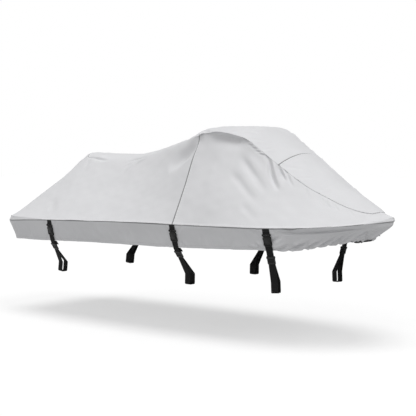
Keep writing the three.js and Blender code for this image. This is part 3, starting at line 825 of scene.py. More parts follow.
# Lines of a table of creases on a surface, with their shapes.
def linesOn(surface, table, sides):
    lines = []
    for side in sides:
        for shape, *picks in table:
            line = curve(creaseShape["steps"], np.array(picks) / 1000)
            lines.append((surface(ribsAt(line[:, 0]), line[:, 1], side), *inMetres(shape)))
    return lines


def inMetres(shape):
    width, depth, roll, start = shape
    width = tuple(half / 1000 for half in width) if isinstance(width, tuple) else width / 1000
    return width, depth / 1000, roll / 1000, start


# Creases. The first brackets hold a crease's half width, depth and roll in millimetres, and its
# start. The others hold its line, in thousandths. On the side panels: places along the rail, and
# drops from the edge to the rail seam.
sideCreases = [
    ((15, 21, 15, .45), (836, 0), (866, 60), (884, 135), (910, 210), (946, 280), (992, 365)),
    ((9, 8, 6, .8), (898, 0), (951, 70), (1015, 155)),
    ((8, 7, 5, .8), (930, 0), (967, 70), (1009, 150)),
    ((8, 5.5, 4.4, .8), (992, 0), (1032, 90), (1075, 170)),
    ((24, 8.8, 5.6, 0), (620, 190), (721, 270), (806, 340), (920, 460)),
    ((27, 8.8, 5.6, 0), (575, 380), (670, 455), (760, 530), (880, 660)),
    ((24, 4, 2, 0), (753, 690), (861, 810), (930, 900)),
    (((19, 60), 33, 0, .1), (340, 14), (415, 36), (490, 46), (570, 40), (650, 24), (730, 4)),
    ((5.5, 7.2, 4.6, .3), (738, 12), (713, 30), (686, 50)),
    ((5.5, 7.2, 4.6, .3), (768, 12), (740, 34), (710, 56)),
    ((5.5, 7.2, 4.6, .3), (798, 12), (770, 36), (740, 60)),
    ((5.5, 6.6, 4.4, .3), (828, 12), (800, 38), (770, 62)),
    ((9, 3.6, 2.6, .5), (560, 0), (548, 30), (530, 75)),
    ((10, 3.6, 2.6, .5), (640, 0), (620, 40), (590, 110)),
    ((7, 4.4, 3.4, .3), (1255, 40), (1278, 140), (1300, 260)),
    ((7, 5.4, 4.4, .3), (1280, 40), (1312, 190), (1340, 300)),
    ((6, 4.4, 3.6, .3), (1337, 50), (1360, 180), (1385, 300)),
    ((8, 3.2, 2.6, .4), (1150, 20), (1170, 120), (1200, 250)),
    ((6, 2.6, 2, .3), (1430, 60), (1450, 220), (1470, 400)),
    ((50, 37, 0, .5), (232, 60), (200, 115), (146, 180), (66, 260), (-20, 340)),
    ((13, 11, 8.4, .5), (-438, 0), (-503, 30), (-546, 100), (-590, 220)),
    ((10, 8.6, 6.6, .5), (-395, 0), (-452, 40), (-510, 110)),
    ((10, 7, 5, .4), (-480, 0), (-550, 30), (-620, 85)),
    ((11, 9, 5, .7), (-1036, 10), (-960, 14), (-880, 16), (-797, 12)),
    ((18, 5, 3, .5), (-1036, 20), (-1020, 100), (-1030, 220)),
    ((50, 5, 3, 0), (-100, 100), (-180, 300), (-300, 520)),
    ((55, 5, 3, 0), (-560, 300), (-700, 520), (-860, 720)),
    ((34, 4.4, 2.6, 0), (-1250, 500), (-1140, 740), (-1075, 950)),
    ((32, 4, 2.4, 0), (-930, 620), (-1010, 820), (-1060, 960)),
]
# On the top panels: places along the rail, and across from the middle to the edge.
topCreases = [
    ((15, 5, 3.4, .2), (595, 860), (640, 750), (680, 650), (715, 500)),
    ((12, 4.4, 3.4, .5), (700, 960), (735, 800), (760, 620)),
    ((11, 4.4, 3.4, .5), (790, 970), (810, 820), (825, 660)),
    ((16, 3.8, 2.8, .4), (500, 960), (520, 800), (560, 600)),
    ((22, -6, 0, .3), (340, 995), (450, 990), (560, 995)),
    ((8, 8, 6.4, .5), (258, 980), (320, 945), (405, 975)),
    ((7, 6, 5, .5), (262, 900), (310, 915), (350, 960)),
    ((30, 4, 3, .2), (262, 600), (330, 400), (420, 250)),
    ((34, 3.4, 2.6, .2), (262, 200), (350, 50), (470, 20)),
    ((11, 4, 3.2, .5), (960, 960), (1010, 800), (1080, 600)),
    ((10, 3.6, 2.8, .5), (1080, 970), (1110, 840), (1150, 660)),
    ((9, 3.2, 2.6, .5), (1220, 960), (1240, 800), (1270, 600)),
    ((16, 3.4, 2.6, .5), (945, 550), (1000, 400), (1080, 300)),
    ((30, 4.4, 3, .3), (-60, 970), (-110, 700), (-190, 450)),
    ((30, 4, 2.8, .2), (-330, 970), (-350, 600), (-380, 200)),
    ((26, 4, 2.8, .3), (90, 970), (60, 720), (10, 450)),
    ((34, 3.4, 2.4, 0), (-1000, 800), (-930, 400), (-900, 50)),
]
# On the stern slope, like the other top panels.
slopeCreases = [
    ((24, 4, 3, .3), (-1600, 920), (-1520, 700), (-1470, 400)),
    ((30, 4.4, 3, .2), (-1420, 900), (-1350, 600), (-1330, 200)),
    ((26, 4, 2.8, .2), (-1200, 880), (-1170, 500), (-1190, 100)),
    ((18, 3.6, 2.6, .4), (-1080, 900), (-1110, 600), (-1180, 400)),
]
# On the skirts: places along the rail, and drops from the rail seam to the hem.
skirtCreases = [
    ((11, 12, 8, .5), (870, 0), (915, 40), (965, 160)),
    ((11, 11, 7.6, .3), (880, 160), (925, 180), (968, 340)),
    ((11, 10, 7, 0), (905, 660), (940, 840), (976, 1000)),
    ((11, 8, 6, 0), (850, 840), (900, 950), (944, 1000)),
    ((11, 13, 8, .5), (1130, 0), (1070, 50), (1027, 150)),
    ((13, 13, 9, .2), (1225, 140), (1124, 160), (1064, 240), (1034, 380)),
    ((13, 13, 9, .6), (1020, 620), (1060, 450), (1115, 280)),
    ((13, 15, 11, 1), (1050, 1000), (1105, 860), (1165, 700)),
    ((13, 11, 8, .5), (1200, 840), (1250, 720), (1310, 600)),
    ((11, 11, 8, .9), (1150, 1000), (1200, 840), (1260, 660)),
    ((10, 14, 10, .9), (1260, 1000), (1310, 800), (1390, 540)),
    ((10, 15, 11, .9), (1340, 1000), (1390, 780), (1450, 500)),
    ((10, 15, 11, .9), (1410, 1000), (1450, 760), (1500, 440)),
    ((9, 14, 11, .9), (1470, 1000), (1500, 760), (1540, 420)),
    ((16, 3.6, 2.6, .5), (700, 1000), (730, 700), (745, 450)),
    ((18, 3.4, 2.4, .4), (470, 1000), (480, 600), (495, 300)),
    ((11, 4, 3, .5), (330, 0), (300, 200), (285, 420)),
    ((11, 4, 3, .6), (330, 1000), (300, 840), (283, 660)),
    ((11, 3.6, 2.6, .5), (140, 0), (170, 200), (186, 420)),
    ((11, 3.6, 2.6, .6), (140, 1000), (172, 840), (188, 660)),
    ((20, 3.4, 2.6, .4), (-240, 1000), (-225, 620), (-215, 300)),
    ((20, 3, 2.2, .3), (-560, 0), (-575, 400), (-560, 800)),
    ((18, 3.2, 2.4, .4), (-820, 1000), (-800, 600), (-790, 250)),
    ((11, 3.8, 3, .5), (-975, 0), (-1002, 220), (-1018, 440)),
    ((11, 3.8, 3, .6), (-980, 1000), (-1006, 840), (-1020, 620)),
    ((11, 3.6, 2.8, .5), (-1165, 0), (-1140, 220), (-1122, 440)),
    ((11, 3.6, 2.8, .6), (-1165, 1000), (-1142, 840), (-1124, 620)),
    ((16, 3.4, 2.6, .5), (-1390, 1000), (-1370, 640), (-1360, 300)),
    ((14, 3.4, 2.6, .4), (-1560, 0), (-1550, 360), (-1530, 740)),
]
# On the skirts across the bow: spreads from the middle, and drops.
bowCreases = [
    ((9, 14, 11, .9), (1000, 980), (860, 620), (700, 260)),
    ((9, 14, 11, .9), (840, 1000), (700, 640), (520, 260)),
    ((9, 14, 11, .9), (640, 1000), (500, 620), (320, 240)),
    ((9, 12, 9, .9), (420, 1000), (300, 640), (140, 280)),
]


def bowPoints(rib, spread, drop, side):
    rail, hem = [endPoints(bowEnd, rib, line, spread * side) for line in ("rail", "hem")]
    return tucked(rail, hem, drop[..., None])


def bowLines(side):
    nose, lines = ribsAt(noseEnd), []
    for shape, *picks in bowCreases:
        spread, drop = curve(creaseShape["steps"], np.array(picks) / 1000).T
        lines.append((bowPoints(nose, spread, drop, side), *inMetres(shape)))
    return lines


def skirtPoints(rib, drop, side):
    rail, hem = linePoints(rib, "rail", side), linePoints(rib, "hem", side)
    return tucked(rail, hem, drop[..., None])


# Next to the bow the skirt tucks in under the rail seam, most at one drop below it. A channel
# right under the seam goes in further, down to a ridge. Round the tip the skirt stands out instead.
skirtTuck = {"from": 1.150, "full": 1.440, "until": 1.500, "end": 1.610, "depth": .024, "drop": .30}
skirtChannel = {"depth": .026, "top": .08, "ridge": (.20, .31), "from": 1.060, "full": 1.300}
skirtTip = {"from": 1.520, "full": 1.630, "depth": .024, "drop": .24}


def tucked(rail, hem, drop):
    place = rail[..., :1] + coverOrigin[0]

    def risen(part):                        # 0 where a part of the tuck starts, 1 where it is full
        return (place - part["from"]) / (part["full"] - part["from"])

    def deepestAt(level):
        return rounded(np.minimum(drop / level, (1 - drop) / (1 - level)))

    fall = np.clip((skirtTuck["end"] - place) / (skirtTuck["end"] - skirtTuck["until"]), 0, 1)
    broad = skirtTuck["depth"] * np.clip(risen(skirtTuck), 0, 1) * deepestAt(skirtTuck["drop"])
    start, end = skirtChannel["ridge"]
    channel = rounded(drop / skirtChannel["top"]) * (1 - rounded((drop - start) / (end - start)))
    channel = skirtChannel["depth"] * rounded(risen(skirtChannel)) * channel
    tip = skirtTip["depth"] * rounded(risen(skirtTip)) * deepestAt(skirtTip["drop"])
    depth = fall * (broad + channel) - tip
    return rail + (hem - rail) * drop + unit((hem - rail) * [1, 1, 0]) * depth


def asColumns(rib):
    return {name: values[:, None] for name, values in rib.items()}


fine = np.linspace(0, 1, 401)


def sideSections(stations, side):           # from the edge over the lip to the rail
    rib = asColumns(ribsAt(stations))
    return np.concatenate([sidePoints(rib, fine, side), linePoints(rib, "rail", side)], 1)


def topSections(stations):
    return topPoints(asColumns(ribsAt(stations)), fine * 2 - 1)


# Sections of the side panel across the bow, under the nose: over a lip that leans like the sides'.
def bowSections(spreads, side):
    rib, spread = ribsAt(noseEnd), spreads[:, None]
    upper, rail = topPoints(rib, spread * side), endPoints(bowEnd, rib, "rail", spread * side)
    lip = bowEnd["lip"] + (rib["lip"] - bowEnd["lip"]) * spread
    lean = lip * ribTable["lipLean"]
    shift = (rib["edgeX"] - rib["railX"]) * rib["lip"] / (rib["edgeZ"] - rib["railZ"])
    low = rail + np.stack([(spread - 1) * lean + spread * shift, -spread * side * lean, lip], -1)
    return np.concatenate([upper + (low - upper) * fine[:, None], rail], 1)


def smoothed(points, weight, rounds):       # along the girth
    for _ in range(rounds):
        middle = (points[:, :-2] + points[:, 2:]) / 2
        points[:, 1:-1] += (middle - points[:, 1:-1]) * weight[:, 1:-1, None] / 2
    return points


# The rear panel goes from rail to rail, with a gap in it for the slope panel. Ahead of the gap the
# edges between its sides and its top are smoothed away. Its swells are calmer at the stern.
rear = {
    "step": .0105, "sideRows": 74, "topRows": 66,
    "edgeWidth": .055, "rounds": 120, "fade": (.020, .015, .16),        # from each end, and over
    "sternCalm": .35, "calmFrom": .4, "calmOver": .5,
    "frontSeam": 1.2,                   # how plainly it shows
    "flat": (1.95, 1.85), "area": 2.78, "seed": 1,
}
slope = {
    "lip": [0, .0012, .0026, .0044, .0070, .0104, .0145, .0195, .026, .031, .0345],     # rows
    "lipTop": .0375,
    "flat": (.97, .90), "area": .575, "seed": 2,
}


def addRear():
    stations = np.concatenate([places(sternCorner, seatCorner, rear["step"], bothEnds)[:-1],
                               places(seatCorner, crossSeam, rear["step"], bothEnds)])
    starboard, port = [resampled(sideSections(stations, side), rear["sideRows"], bothEnds)[0]
                       for side in (-1, 1)]
    top, shares = resampled(topSections(stations), rear["topRows"], bothEnds)
    girth = np.concatenate([starboard[:, ::-1], top[:, 1:-1], port], 1)
    first, last = rear["sideRows"] - 1, rear["sideRows"] + rear["topRows"] - 2
    seat = int(np.searchsorted(stations, seatCorner - 1e-6))
    slopeTop = top[:seat + 1]

    around = distances(girth, 1)
    weight = [bell(around - around[:, [edge]], rear["edgeWidth"]) for edge in (first, last)]
    aft, fore, over = rear["fade"]
    fade = rounded((stations - seatCorner - aft) / over)
    fade = fade * rounded((crossSeam - fore - stations) / over)
    girth = smoothed(girth, np.max(weight, 0) * fade[:, None], rear["rounds"])

    creases = linesOn(sidePoints, sideCreases, (-1, 1)) + linesOn(onTop, topCreases, (-1, 1))
    calm = rounded((stations[:, None] - seatCorner + rear["calmFrom"]) / rear["calmOver"])
    calm = rear["sternCalm"] + (1 - rear["sternCalm"]) * calm
    borders = ("over", ("under", rear["frontSeam"]), "over", "over")
    moved, normals, fields = shaped(girth, False, borders, creases, panels["swells"], rear["seed"], calm)

    # The rear panel lies over the slope panel, at the slope's two sides and at its upper end.
    section, row = np.indices(around.shape)
    along = distances(girth, 0)

    def lay(where, gap, run):
        gap = np.abs(gap)
        fields["over"] = np.where(where, np.minimum(fields["over"], gap), fields["over"])
        fields["run"] = np.where(where & (gap < panels["far"]), run, fields["run"])
        return normals * (where * raisedBy(gap))[..., None]

    for edge, way in ((first, -1), (last, 1)):
        beside = (section <= seat) & ((row - edge) * way >= 0)
        moved = moved + lay(beside, around - around[:, [edge]], along)
    ahead = (section >= seat) & (row >= first) & (row <= last)
    moved = moved + lay(ahead, along - along[[seat]], fields["run"])
    moved, normals, fields = withTongue(moved, normals, fields)
    kept = np.ones((len(moved) - 1, moved.shape[1] - 1), bool)
    kept[:seat, first:last] = False
    addSheet("rearCloth", "rear_body", (moved, normals, fields), rear["flat"], rear["area"], kept)

    # The slope panel turns down at the stern into an upright lip.
    rail = endPoints(sternEnd, ribsAt(sternCorner), "rail", shares[0] * 2 - 1)
    rises = np.array(slope["lip"])[:, None, None] / slope["lipTop"]
    points = np.concatenate([rail + (slopeTop[0] - rail) * rises, slopeTop])
    creases = linesOn(onTop, slopeCreases, (-1, 1))
    borders = ("over", "under", "under", "under")
    grid = shaped(points, False, borders, creases, panels["swells"], slope["seed"])
    addSheet("slopeCloth", "stern_slope", grid, slope["flat"], slope["area"])


# The hood and the nose. Their long seams show less plainly than the one across.
tops = [
    {"name": "hoodCloth", "node": "hood", "ends": (crossSeam, hoodSeam), "step": .0074, "rows": 96,
     "lastSeam": "under", "plain": .3, "flat": (.80, .78), "area": .538, "seed": 3},
    {"name": "noseCloth", "node": "nose", "ends": (hoodSeam, noseEnd), "step": .0070, "rows": 76,
     "lastSeam": "over", "plain": .6, "flat": (.78, .60), "area": .346, "seed": 4},
]


def addTop(name, node, ends, step, rows, lastSeam, plain, flat, area, seed):
    stations = places(*ends, step, bothEnds)
    points = resampled(topSections(stations), rows, bothEnds)[0]
    creases = linesOn(onTop, topCreases, (-1, 1))
    borders = ("over", lastSeam, ("over", plain), ("over", plain))
    grid = shaped(points, False, borders, creases, panels["swells"], seed)
    addSheet(name, node, withTongue(*grid) if lastSeam == "under" else grid, flat, area)


# A side panel runs from the cross seam round to the middle of the bow. Its seam with the hood
# and nose shows more plainly towards the bow.
sideFront = {
    "steps": (.0062, .0058), "bowStep": .045, "tipSpreads": [.03, .012, 0], "rows": 104,
    "plain": (.25, .45), "plainFrom": 60, "plainOver": 60,          # in sections
    "flat": (1.50, .70), "area": .676, "seed": 6,
}


def addSideFront(side, word):
    hoodStep, noseStep = sideFront["steps"]
    stations = np.concatenate([places(crossSeam, hoodSeam, hoodStep, (True, False))[:-1],
                               places(hoodSeam, noseEnd, noseStep, (False, False))])
    spreads = 1 - places(0, 1, sideFront["bowStep"], (False, False))[1:-1]
    spreads = np.concatenate([spreads, sideFront["tipSpreads"]])
    sections = np.concatenate([sideSections(stations, side), bowSections(spreads, side)])
    points = resampled(sections, sideFront["rows"], bothEnds)[0]
    creases = linesOn(sidePoints, sideCreases, (side,))
    least, more = sideFront["plain"]
    section = np.arange(len(points))[:, None]
    plain = least + more * rounded((section - sideFront["plainFrom"]) / sideFront["plainOver"])
    bowSeam = "over" if side < 0 else "under"
    borders = ("over", bowSeam, ("under", plain), "over")
    grid = shaped(points, side < 0, borders, creases, panels["swells"], sideFront["seed"])
    grid = withTongue(*grid) if bowSeam == "under" else grid
    flat, area = sideFront["flat"], sideFront["area"]
    addSheet("sideFrontCloth." + word, "side_front_" + word, grid, flat, area, turned=side < 0)


# The skirts. The front ones meet at the middle of the bow, where starboard lies over port.
skirts = {
    "drop": .166, "rows": 46, "flare": .4,          # the share of the swells that is left at the seam
    "rear": {"step": .0085, "flat": (1.92, .18), "area": .342, "seed": 7},
    "front": {"step": .0062, "bowStep": .04, "flat": (1.62, .20), "area": .317, "seed": 8},
    "stern": {"sections": 150, "flat": (.97, .18), "area": .152, "seed": 9},
}


def addSkirt(name, node, look, lines, seams, creases, turned=False):
    drops = spaced(skirts["drop"], skirts["rows"], bothEnds) / skirts["drop"]
    rail, hem = [line[:, None] for line in lines]
    points = tucked(rail, hem, drops[:, None])
    borders, flare = (*seams, "under", "hem"), skirts["flare"] + (1 - skirts["flare"]) * drops
    grid = shaped(points, turned, borders, creases, panels["skirtSwells"], look["seed"], flare)
    grid = withTongue(*grid) if creases and seams[1] == "under" else grid
    addSheet(name, node, grid, look["flat"], look["area"], turned=turned, finish="skirt")


def addSkirts():
    aft, fore, stern = skirts["rear"], skirts["front"], skirts["stern"]
    aftRib = ribsAt(places(sternCorner, crossSeam, aft["step"], bothEnds))
    foreRib = ribsAt(places(crossSeam, noseEnd, fore["step"], (True, False)))
    spreads = 1 - places(0, 1, fore["bowStep"], (False, False))[1:]
    sternRib, nose = ribsAt(sternCorner), ribsAt(noseEnd)
    railAndHem = ("rail", "hem")
    for side, word in bothSides:
        creases = linesOn(skirtPoints, skirtCreases, (side,)) + bowLines(side)
        lines = [linePoints(aftRib, line, side) for line in railAndHem]
        addSkirt("skirtRearCloth." + word, "skirt_rear_" + word, aft, lines, ("over", "under"),
                 creases, side < 0)
        bow = [endPoints(bowEnd, nose, line, spreads * side) for line in railAndHem]
        lines = [linePoints(foreRib, line, side) for line in railAndHem]
        lines = [np.concatenate(both) for both in zip(lines, bow)]
        addSkirt("skirtFrontCloth." + word, "skirt_front_" + word, fore, lines,
                 ("over", "over" if side < 0 else "under"), creases, side < 0)
    across = spaced(2, stern["sections"], (False, False)) - 1
    lines = [endPoints(sternEnd, sternRib, line, across) for line in railAndHem]
    addSkirt("skirtSternCloth", "skirt_stern", stern, lines, ("under", "under"), [])


addRear()
for top in tops:
    addTop(**top)
for side, word in bothSides:
    addSideFront(side, word)
print("upper cloth")
addSkirts()
print("skirts")

# Straps, buckles and cord. Lengths run down along the skirt from the rail seam, heights stand out
# from the skirt, and widths run along the cover.
webbing = {"width": .050, "thickness": .0019, "bend": .004, "step": .004, "rows": 15, "edge": .12,
           "seamInset": .003, "seamWidth": .002}
straps = [
    {"name": "aft", "railX": -1.070, "lean": -9, "lift": .0005, "toAdjuster": .016, "tail": .026},
    {"name": "middle", "railX": .235, "lean": -2, "lift": .0005, "toAdjuster": .022, "tail": .024},
    {"name": "forward", "railX": 1.000, "lean": 4, "lift": .0009, "toAdjuster": .028, "tail": 0},
]
trailerRail = {"outer": .419, "width": .050, "top": -.368, "height": .075, "gap": .0016, "corner": .006}
tab = {"start": .004, "flat": .022, "end": .040, "height": .001, "last": (.0055, -.0012), "bend": .006,
       "seams": ((.0035, .0145), (.0035, .0060))}
buckle = {"barStart": .0406, "barDrop": .005, "bodyStart": .0619, "middle": .0062, "webbingStart": .1204}
adjuster = {"length": .057, "ply": .0001}       # ply: what each layer of webbing stands off the other
stem = {"pastHem": .009, "heightAtHem": .0036, "belowAdjuster": .006, "aim": .35, "lastEnd": .004}
tail = {"path": [(0, 0), (-.014, -.006), (-.020, -.014), (-.012, -.020)], "end": -.024}
sternStrap = {"across": (.8, 1), "place": .3, "lift": .0012, "height": .001, "start": .004, "end": .110,
              "buckle": .1043, "seams": ((.003, .018), (.003, .007))}


def skirtFrame(rail, hem, tangent, side, lean):
    ahead = unit(tangent)
    down = hem - rail
    down = down - ahead * (down @ ahead)
    length = np.linalg.norm(down) / math.cos(lean)
    down = unit(unit(down) + ahead * math.tan(lean))
    out = unit(np.cross(ahead, down)) * side
    return {"rail": rail, "down": down, "out": out, "across": np.cross(down, out), "length": length}


def sideFrame(railX, side, lean):
    def halfWay(x):
        rib = ribsAt(x)
        return (linePoints(rib, "rail", side) + linePoints(rib, "hem", side)) / 2
    rib, reach = ribsAt(railX), webbing["width"] / 2
    tangent = halfWay(railX + reach) - halfWay(railX - reach)
    return skirtFrame(linePoints(rib, "rail", side), linePoints(rib, "hem", side), tangent, side, lean)


def sternFrame(side):                       # a share of the way between two places across the stern
    rib, place = ribsAt(sternCorner), sternStrap["place"]
    near, far = [[endPoints(sternEnd, rib, line, np.float64(across * side)) for line in ("rail", "hem")]
                 for across in sternStrap["across"]]
    rail, hem = [near[k] * (1 - place) + far[k] * place for k in (0, 1)]
    tangent = far[0] + far[1] - near[0] - near[1]
    return skirtFrame(rail, hem, tangent, side, 0)


def inSpace(frame, along, width, height):   # arrays of places on a skirt frame as points
    along, width, height = np.broadcast_arrays(along, width, height)
    return (frame["rail"] + frame["down"] * along[..., None] + frame["across"] * width[..., None]
            + frame["out"] * height[..., None])


def filleted(corners, radius, closed=False, steps=6):
    corners = [np.array(corner, float) for corner in corners]
    count = len(corners)
    path = []
    for i, corner in enumerate(corners):
        if not closed and i in (0, count - 1):
            path.append(corner)
            continue
        before, after = corners[i - 1] - corner, corners[(i + 1) % count] - corner
        room = min(np.linalg.norm(before), np.linalg.norm(after)) / 2.02    # just short of half way
        reach = min(radius, room)
        first, last = corner + unit(before) * reach, corner + unit(after) * reach
        for t in np.linspace(0, 1, steps):
            path.append(first * (1 - t) ** 2 + corner * 2 * t * (1 - t) + last * t * t)
    return np.array(path)


# Webbing swept along a path of (along, height), with soft edges, and sewn at the lengths in seams.
def addWebbing(name, frame, path, node, seams=()):
    half, thick, count = webbing["width"] / 2, webbing["thickness"] / 2, webbing["rows"]
    lengths = distances(path[None], 1)[0]
    even = np.linspace(0, lengths[-1], max(int(lengths[-1] / webbing["step"]), 4))
    at = np.unique(np.concatenate([even, lengths]).round(6))
    path = np.stack([np.interp(at, lengths, path[:, k]) for k in (0, 1)], 1)
    ahead = unit(np.gradient(path, axis=0))
    aside = np.stack([-ahead[:, 1], ahead[:, 0]], 1)
    rows = np.linspace(-1, 1, count)
    rows = np.concatenate([rows, rows[::-1]])
    edge = np.sqrt(1 - np.clip((abs(rows) * half - half + thick) / thick, 0, 1) ** 2)
    height = np.repeat([thick, -thick], count) * np.maximum(edge, webbing["edge"])
    points = path[:, None] + aside[:, None] * height[None, :, None]
    weave = np.stack(np.broadcast_arrays(at[:, None], rows * half), -1).reshape(-1, 2)
    stitch = np.zeros(len(weave))
    along, across = weave[:, 0], abs(weave[:, 1])
    for low, high in seams:
        inside = (along > low) & (along < high) & (across < half - webbing["seamInset"])
        near = bell(np.minimum(along - low, high - along), webbing["seamWidth"])
        stitch = np.where(inside, np.maximum(stitch, near), stitch)
    rings = inSpace(frame, points[..., 0], rows * half, points[..., 1])
    mesh = barMesh(name, rings, True, {"weave": weave, "stitch": stitch})
    addPiece(name, mesh, "webbing", [node])


# Moulded pieces, in millimetres until they are placed. An outline is of (width, along).
def mirrored(half):                         # a closed outline from its half, of (along, width)
    return [(width, along) for along, width in half] + [(-width, along) for along, width in half[::-1]]


def bar(half, low, high, middle=0):
    return [(middle - half, low), (middle + half, low), (middle + half, high), (middle - half, high)]


# A plate between two heights, with soft edges, rounded corners and holes.
def plate(outline, low, high, edge, radius=2, holes=()):
    low, high, edge, radius = [size / 1000 for size in (low, high, edge, radius)]
    shape = bpy.data.curves.new("outline", "CURVE")
    shape.dimensions = "2D"
    shape.fill_mode = "BOTH"
    shape.extrude = (high - low) / 2 - edge
    shape.bevel_depth = edge
    shape.bevel_resolution = 2
    shape.offset = -edge
    for corners in (outline, *holes):
        points = filleted(np.array(corners) / 1000, radius, closed=True, steps=5)
        spline = shape.splines.new("POLY")
        spline.points.add(len(points) - 1)
        spline.points.foreach_set("co", np.ravel([(x, y, 0, 1) for x, y in points]))
        spline.use_cyclic_u = True
    holder = bpy.data.objects.new("outline", shape)
    mesh = bpy.data.meshes.new_from_object(holder)
    vertices = np.zeros(3 * len(mesh.vertices))
    mesh.vertices.foreach_get("co", vertices)
    vertices = vertices.reshape(-1, 3) + [0, 0, (low + high) / 2]
    faces = [list(face.vertices) for face in mesh.polygons]
    bpy.data.objects.remove(holder)
    bpy.data.meshes.remove(mesh)
    bpy.data.curves.remove(shape)
    return vertices, faces


sharpFrom = math.radians(35)


def addMoulding(name, place, parts, node):
    points, faces, count = [], [], 0
    for vertices, polygons in parts:
        points.append(place(vertices))
        faces += [[index + count for index in face] for face in polygons]
        count += len(vertices)
    mesh = bpy.data.meshes.new(name)
    mesh.from_pydata(np.concatenate(points).tolist(), [], faces)
    work = bmesh.new()
    work.from_mesh(mesh)
    bmesh.ops.remove_doubles(work, verts=work.verts, dist=1e-6)
    bmesh.ops.recalc_face_normals(work, faces=work.faces)
    for one in work.edges:
        one.smooth = one.calc_face_angle(0) < sharpFrom
    for face in work.faces:
        face.smooth = True
    work.to_mesh(mesh)
    work.free()
    addPiece(name, mesh, "plastic", [node])


def onFrame(frame, start, height):
    def place(vertices):
        width, along, above = vertices.T
        return inSpace(frame, start + along, width, height + above)
    return place


# The buckle's half on the tab: a bar with ears that the tab is sewn round.
def buckleBarParts():
    outline = mirrored([(0, 31), (13, 31), (15, 25), (21, 25)])
    parts = [plate(outline, 0, 7, 1.2, holes=[bar(25.5, 3.5, 8.5)]),
             plate(bar(30, 9.5, 12.5), 5.5, 10, 1),
             plate(bar(22, 14.5, 19.5), 6, 9.4, 1)]
    return parts + [plate(bar(2, 1, 12, side * 28.8), 5.5, 9.4, .8) for side in (-1, 1)]


# The other half: a housing with a raised middle and, at its sides, windows onto the two prongs.
def buckleBodyParts():
    outline = mirrored([(0, 27), (3, 30), (18, 30), (24, 27.5),
                        (40, 27.5), (46, 30), (58, 30), (65, 26)])
    windows = [bar(3.5, 20, 43, side * 22.5) for side in (-1, 1)]
    parts = [plate(outline, 0, 6, 1.6),
             plate(outline, 5.6, 11, 1.4, holes=windows + [bar(25.5, 53, 58.5)]),
             plate(mirrored([(6, 15), (10, 17), (36, 17), (46, 12.5)]), 10, 12.8, 1, 3),
             plate(mirrored([(12, 10), (30, 10), (36, 7)]), 12, 13.6, .7)]
    for side in (-1, 1):
        prong = [(side * 19.5, 20.5), (side * 26.2, 25), (side * 26.2, 38), (side * 19.5, 42.5)]
        parts.append(plate(prong, 5.5, 9, 1))
        for ridge in (25.5, 28.9, 32.3, 35.7):
            parts.append(plate(bar(2.4, ridge, ridge + 1.4, side * 23.5), 8.5, 9.8, .4, .4))
    return parts + [plate(bar(24, row - 1.1, row + 1.1), 10.5, 12, .6, .6) for row in (50, 61.2)]


# The adjuster that the webbing is doubled through: a frame with shoulders, bars and a gripped lip,
# the same on both faces.
def adjusterParts():
    slots = [bar(23.5, 20, 27), bar(23.5, 34.5, 41.5)]
    plates = [(bar(28, 16.5, 57), 2.4, 5, 1, 4, slots),
              (bar(30.5, 0, 17), 2.4, 6.2, 1.3, 3),
              (bar(26, 2, 4.8), 5.5, 6.6, .5, 1),
              (bar(26, 8.2, 11), 5.5, 6.6, .5, 1),
              (bar(24, 46.5, 50), 4.5, 5.8, .6, 1)]
    parts = [plate(outline, low, high, *rest) for outline, low, high, *rest in plates]
    parts += [plate(outline, -high, -low, *rest) for outline, low, high, *rest in plates]
    for side in (-1, 1):
        parts.append(plate(bar(1, 15, 56, side * 27), -3.6, 3.6, .4, .6))
        parts.append(plate(bar(2, .6, 16.4, side * 28), -3.6, 3.6, .4, .8))
    return parts


def sternBuckleParts():
    outline = mirrored([(0, 24), (4, 28), (38, 28), (44, 24)])
    return [plate(outline, 0, 7, 1.6, holes=[bar(25.5, 3, 7.5)]),
            plate(mirrored([(10, 27), (36, 27), (41, 23)]), 6.2, 10.5, 1.4),
            plate(mirrored([(14, 16), (30, 16), (36, 12)]), 9.8, 11.2, .6)]


mouldings = {"bar": buckleBarParts(), "body": buckleBodyParts(), "adjuster": adjusterParts(),
             "stern": sternBuckleParts()}


# The corners of a strap's loop round the trailer rail, as (along, height), from the outer upper one.
def loopCorners(frame):
    gap, top, corner = trailerRail["gap"], trailerRail["top"], trailerRail["corner"]
    near, far = trailerRail["outer"] + gap, trailerRail["outer"] - trailerRail["width"] - gap
    low = top - trailerRail["height"] - gap
    rail, down, out = frame["rail"] + coverOrigin, frame["down"], frame["out"]
    scale = down[1] * out[2] - down[2] * out[1]
    corners = []
    for fromMiddle, z in ((near, top), (near, low + corner), (near - corner, low),
                          (far + corner, low), (far, low + corner), (far, top)):
        y, z = math.copysign(fromMiddle, rail[1]) - rail[1], z - rail[2]
        corners.append(np.array([y * out[2] - z * out[1], down[1] * z - down[2] * y]) / scale)
    return corners


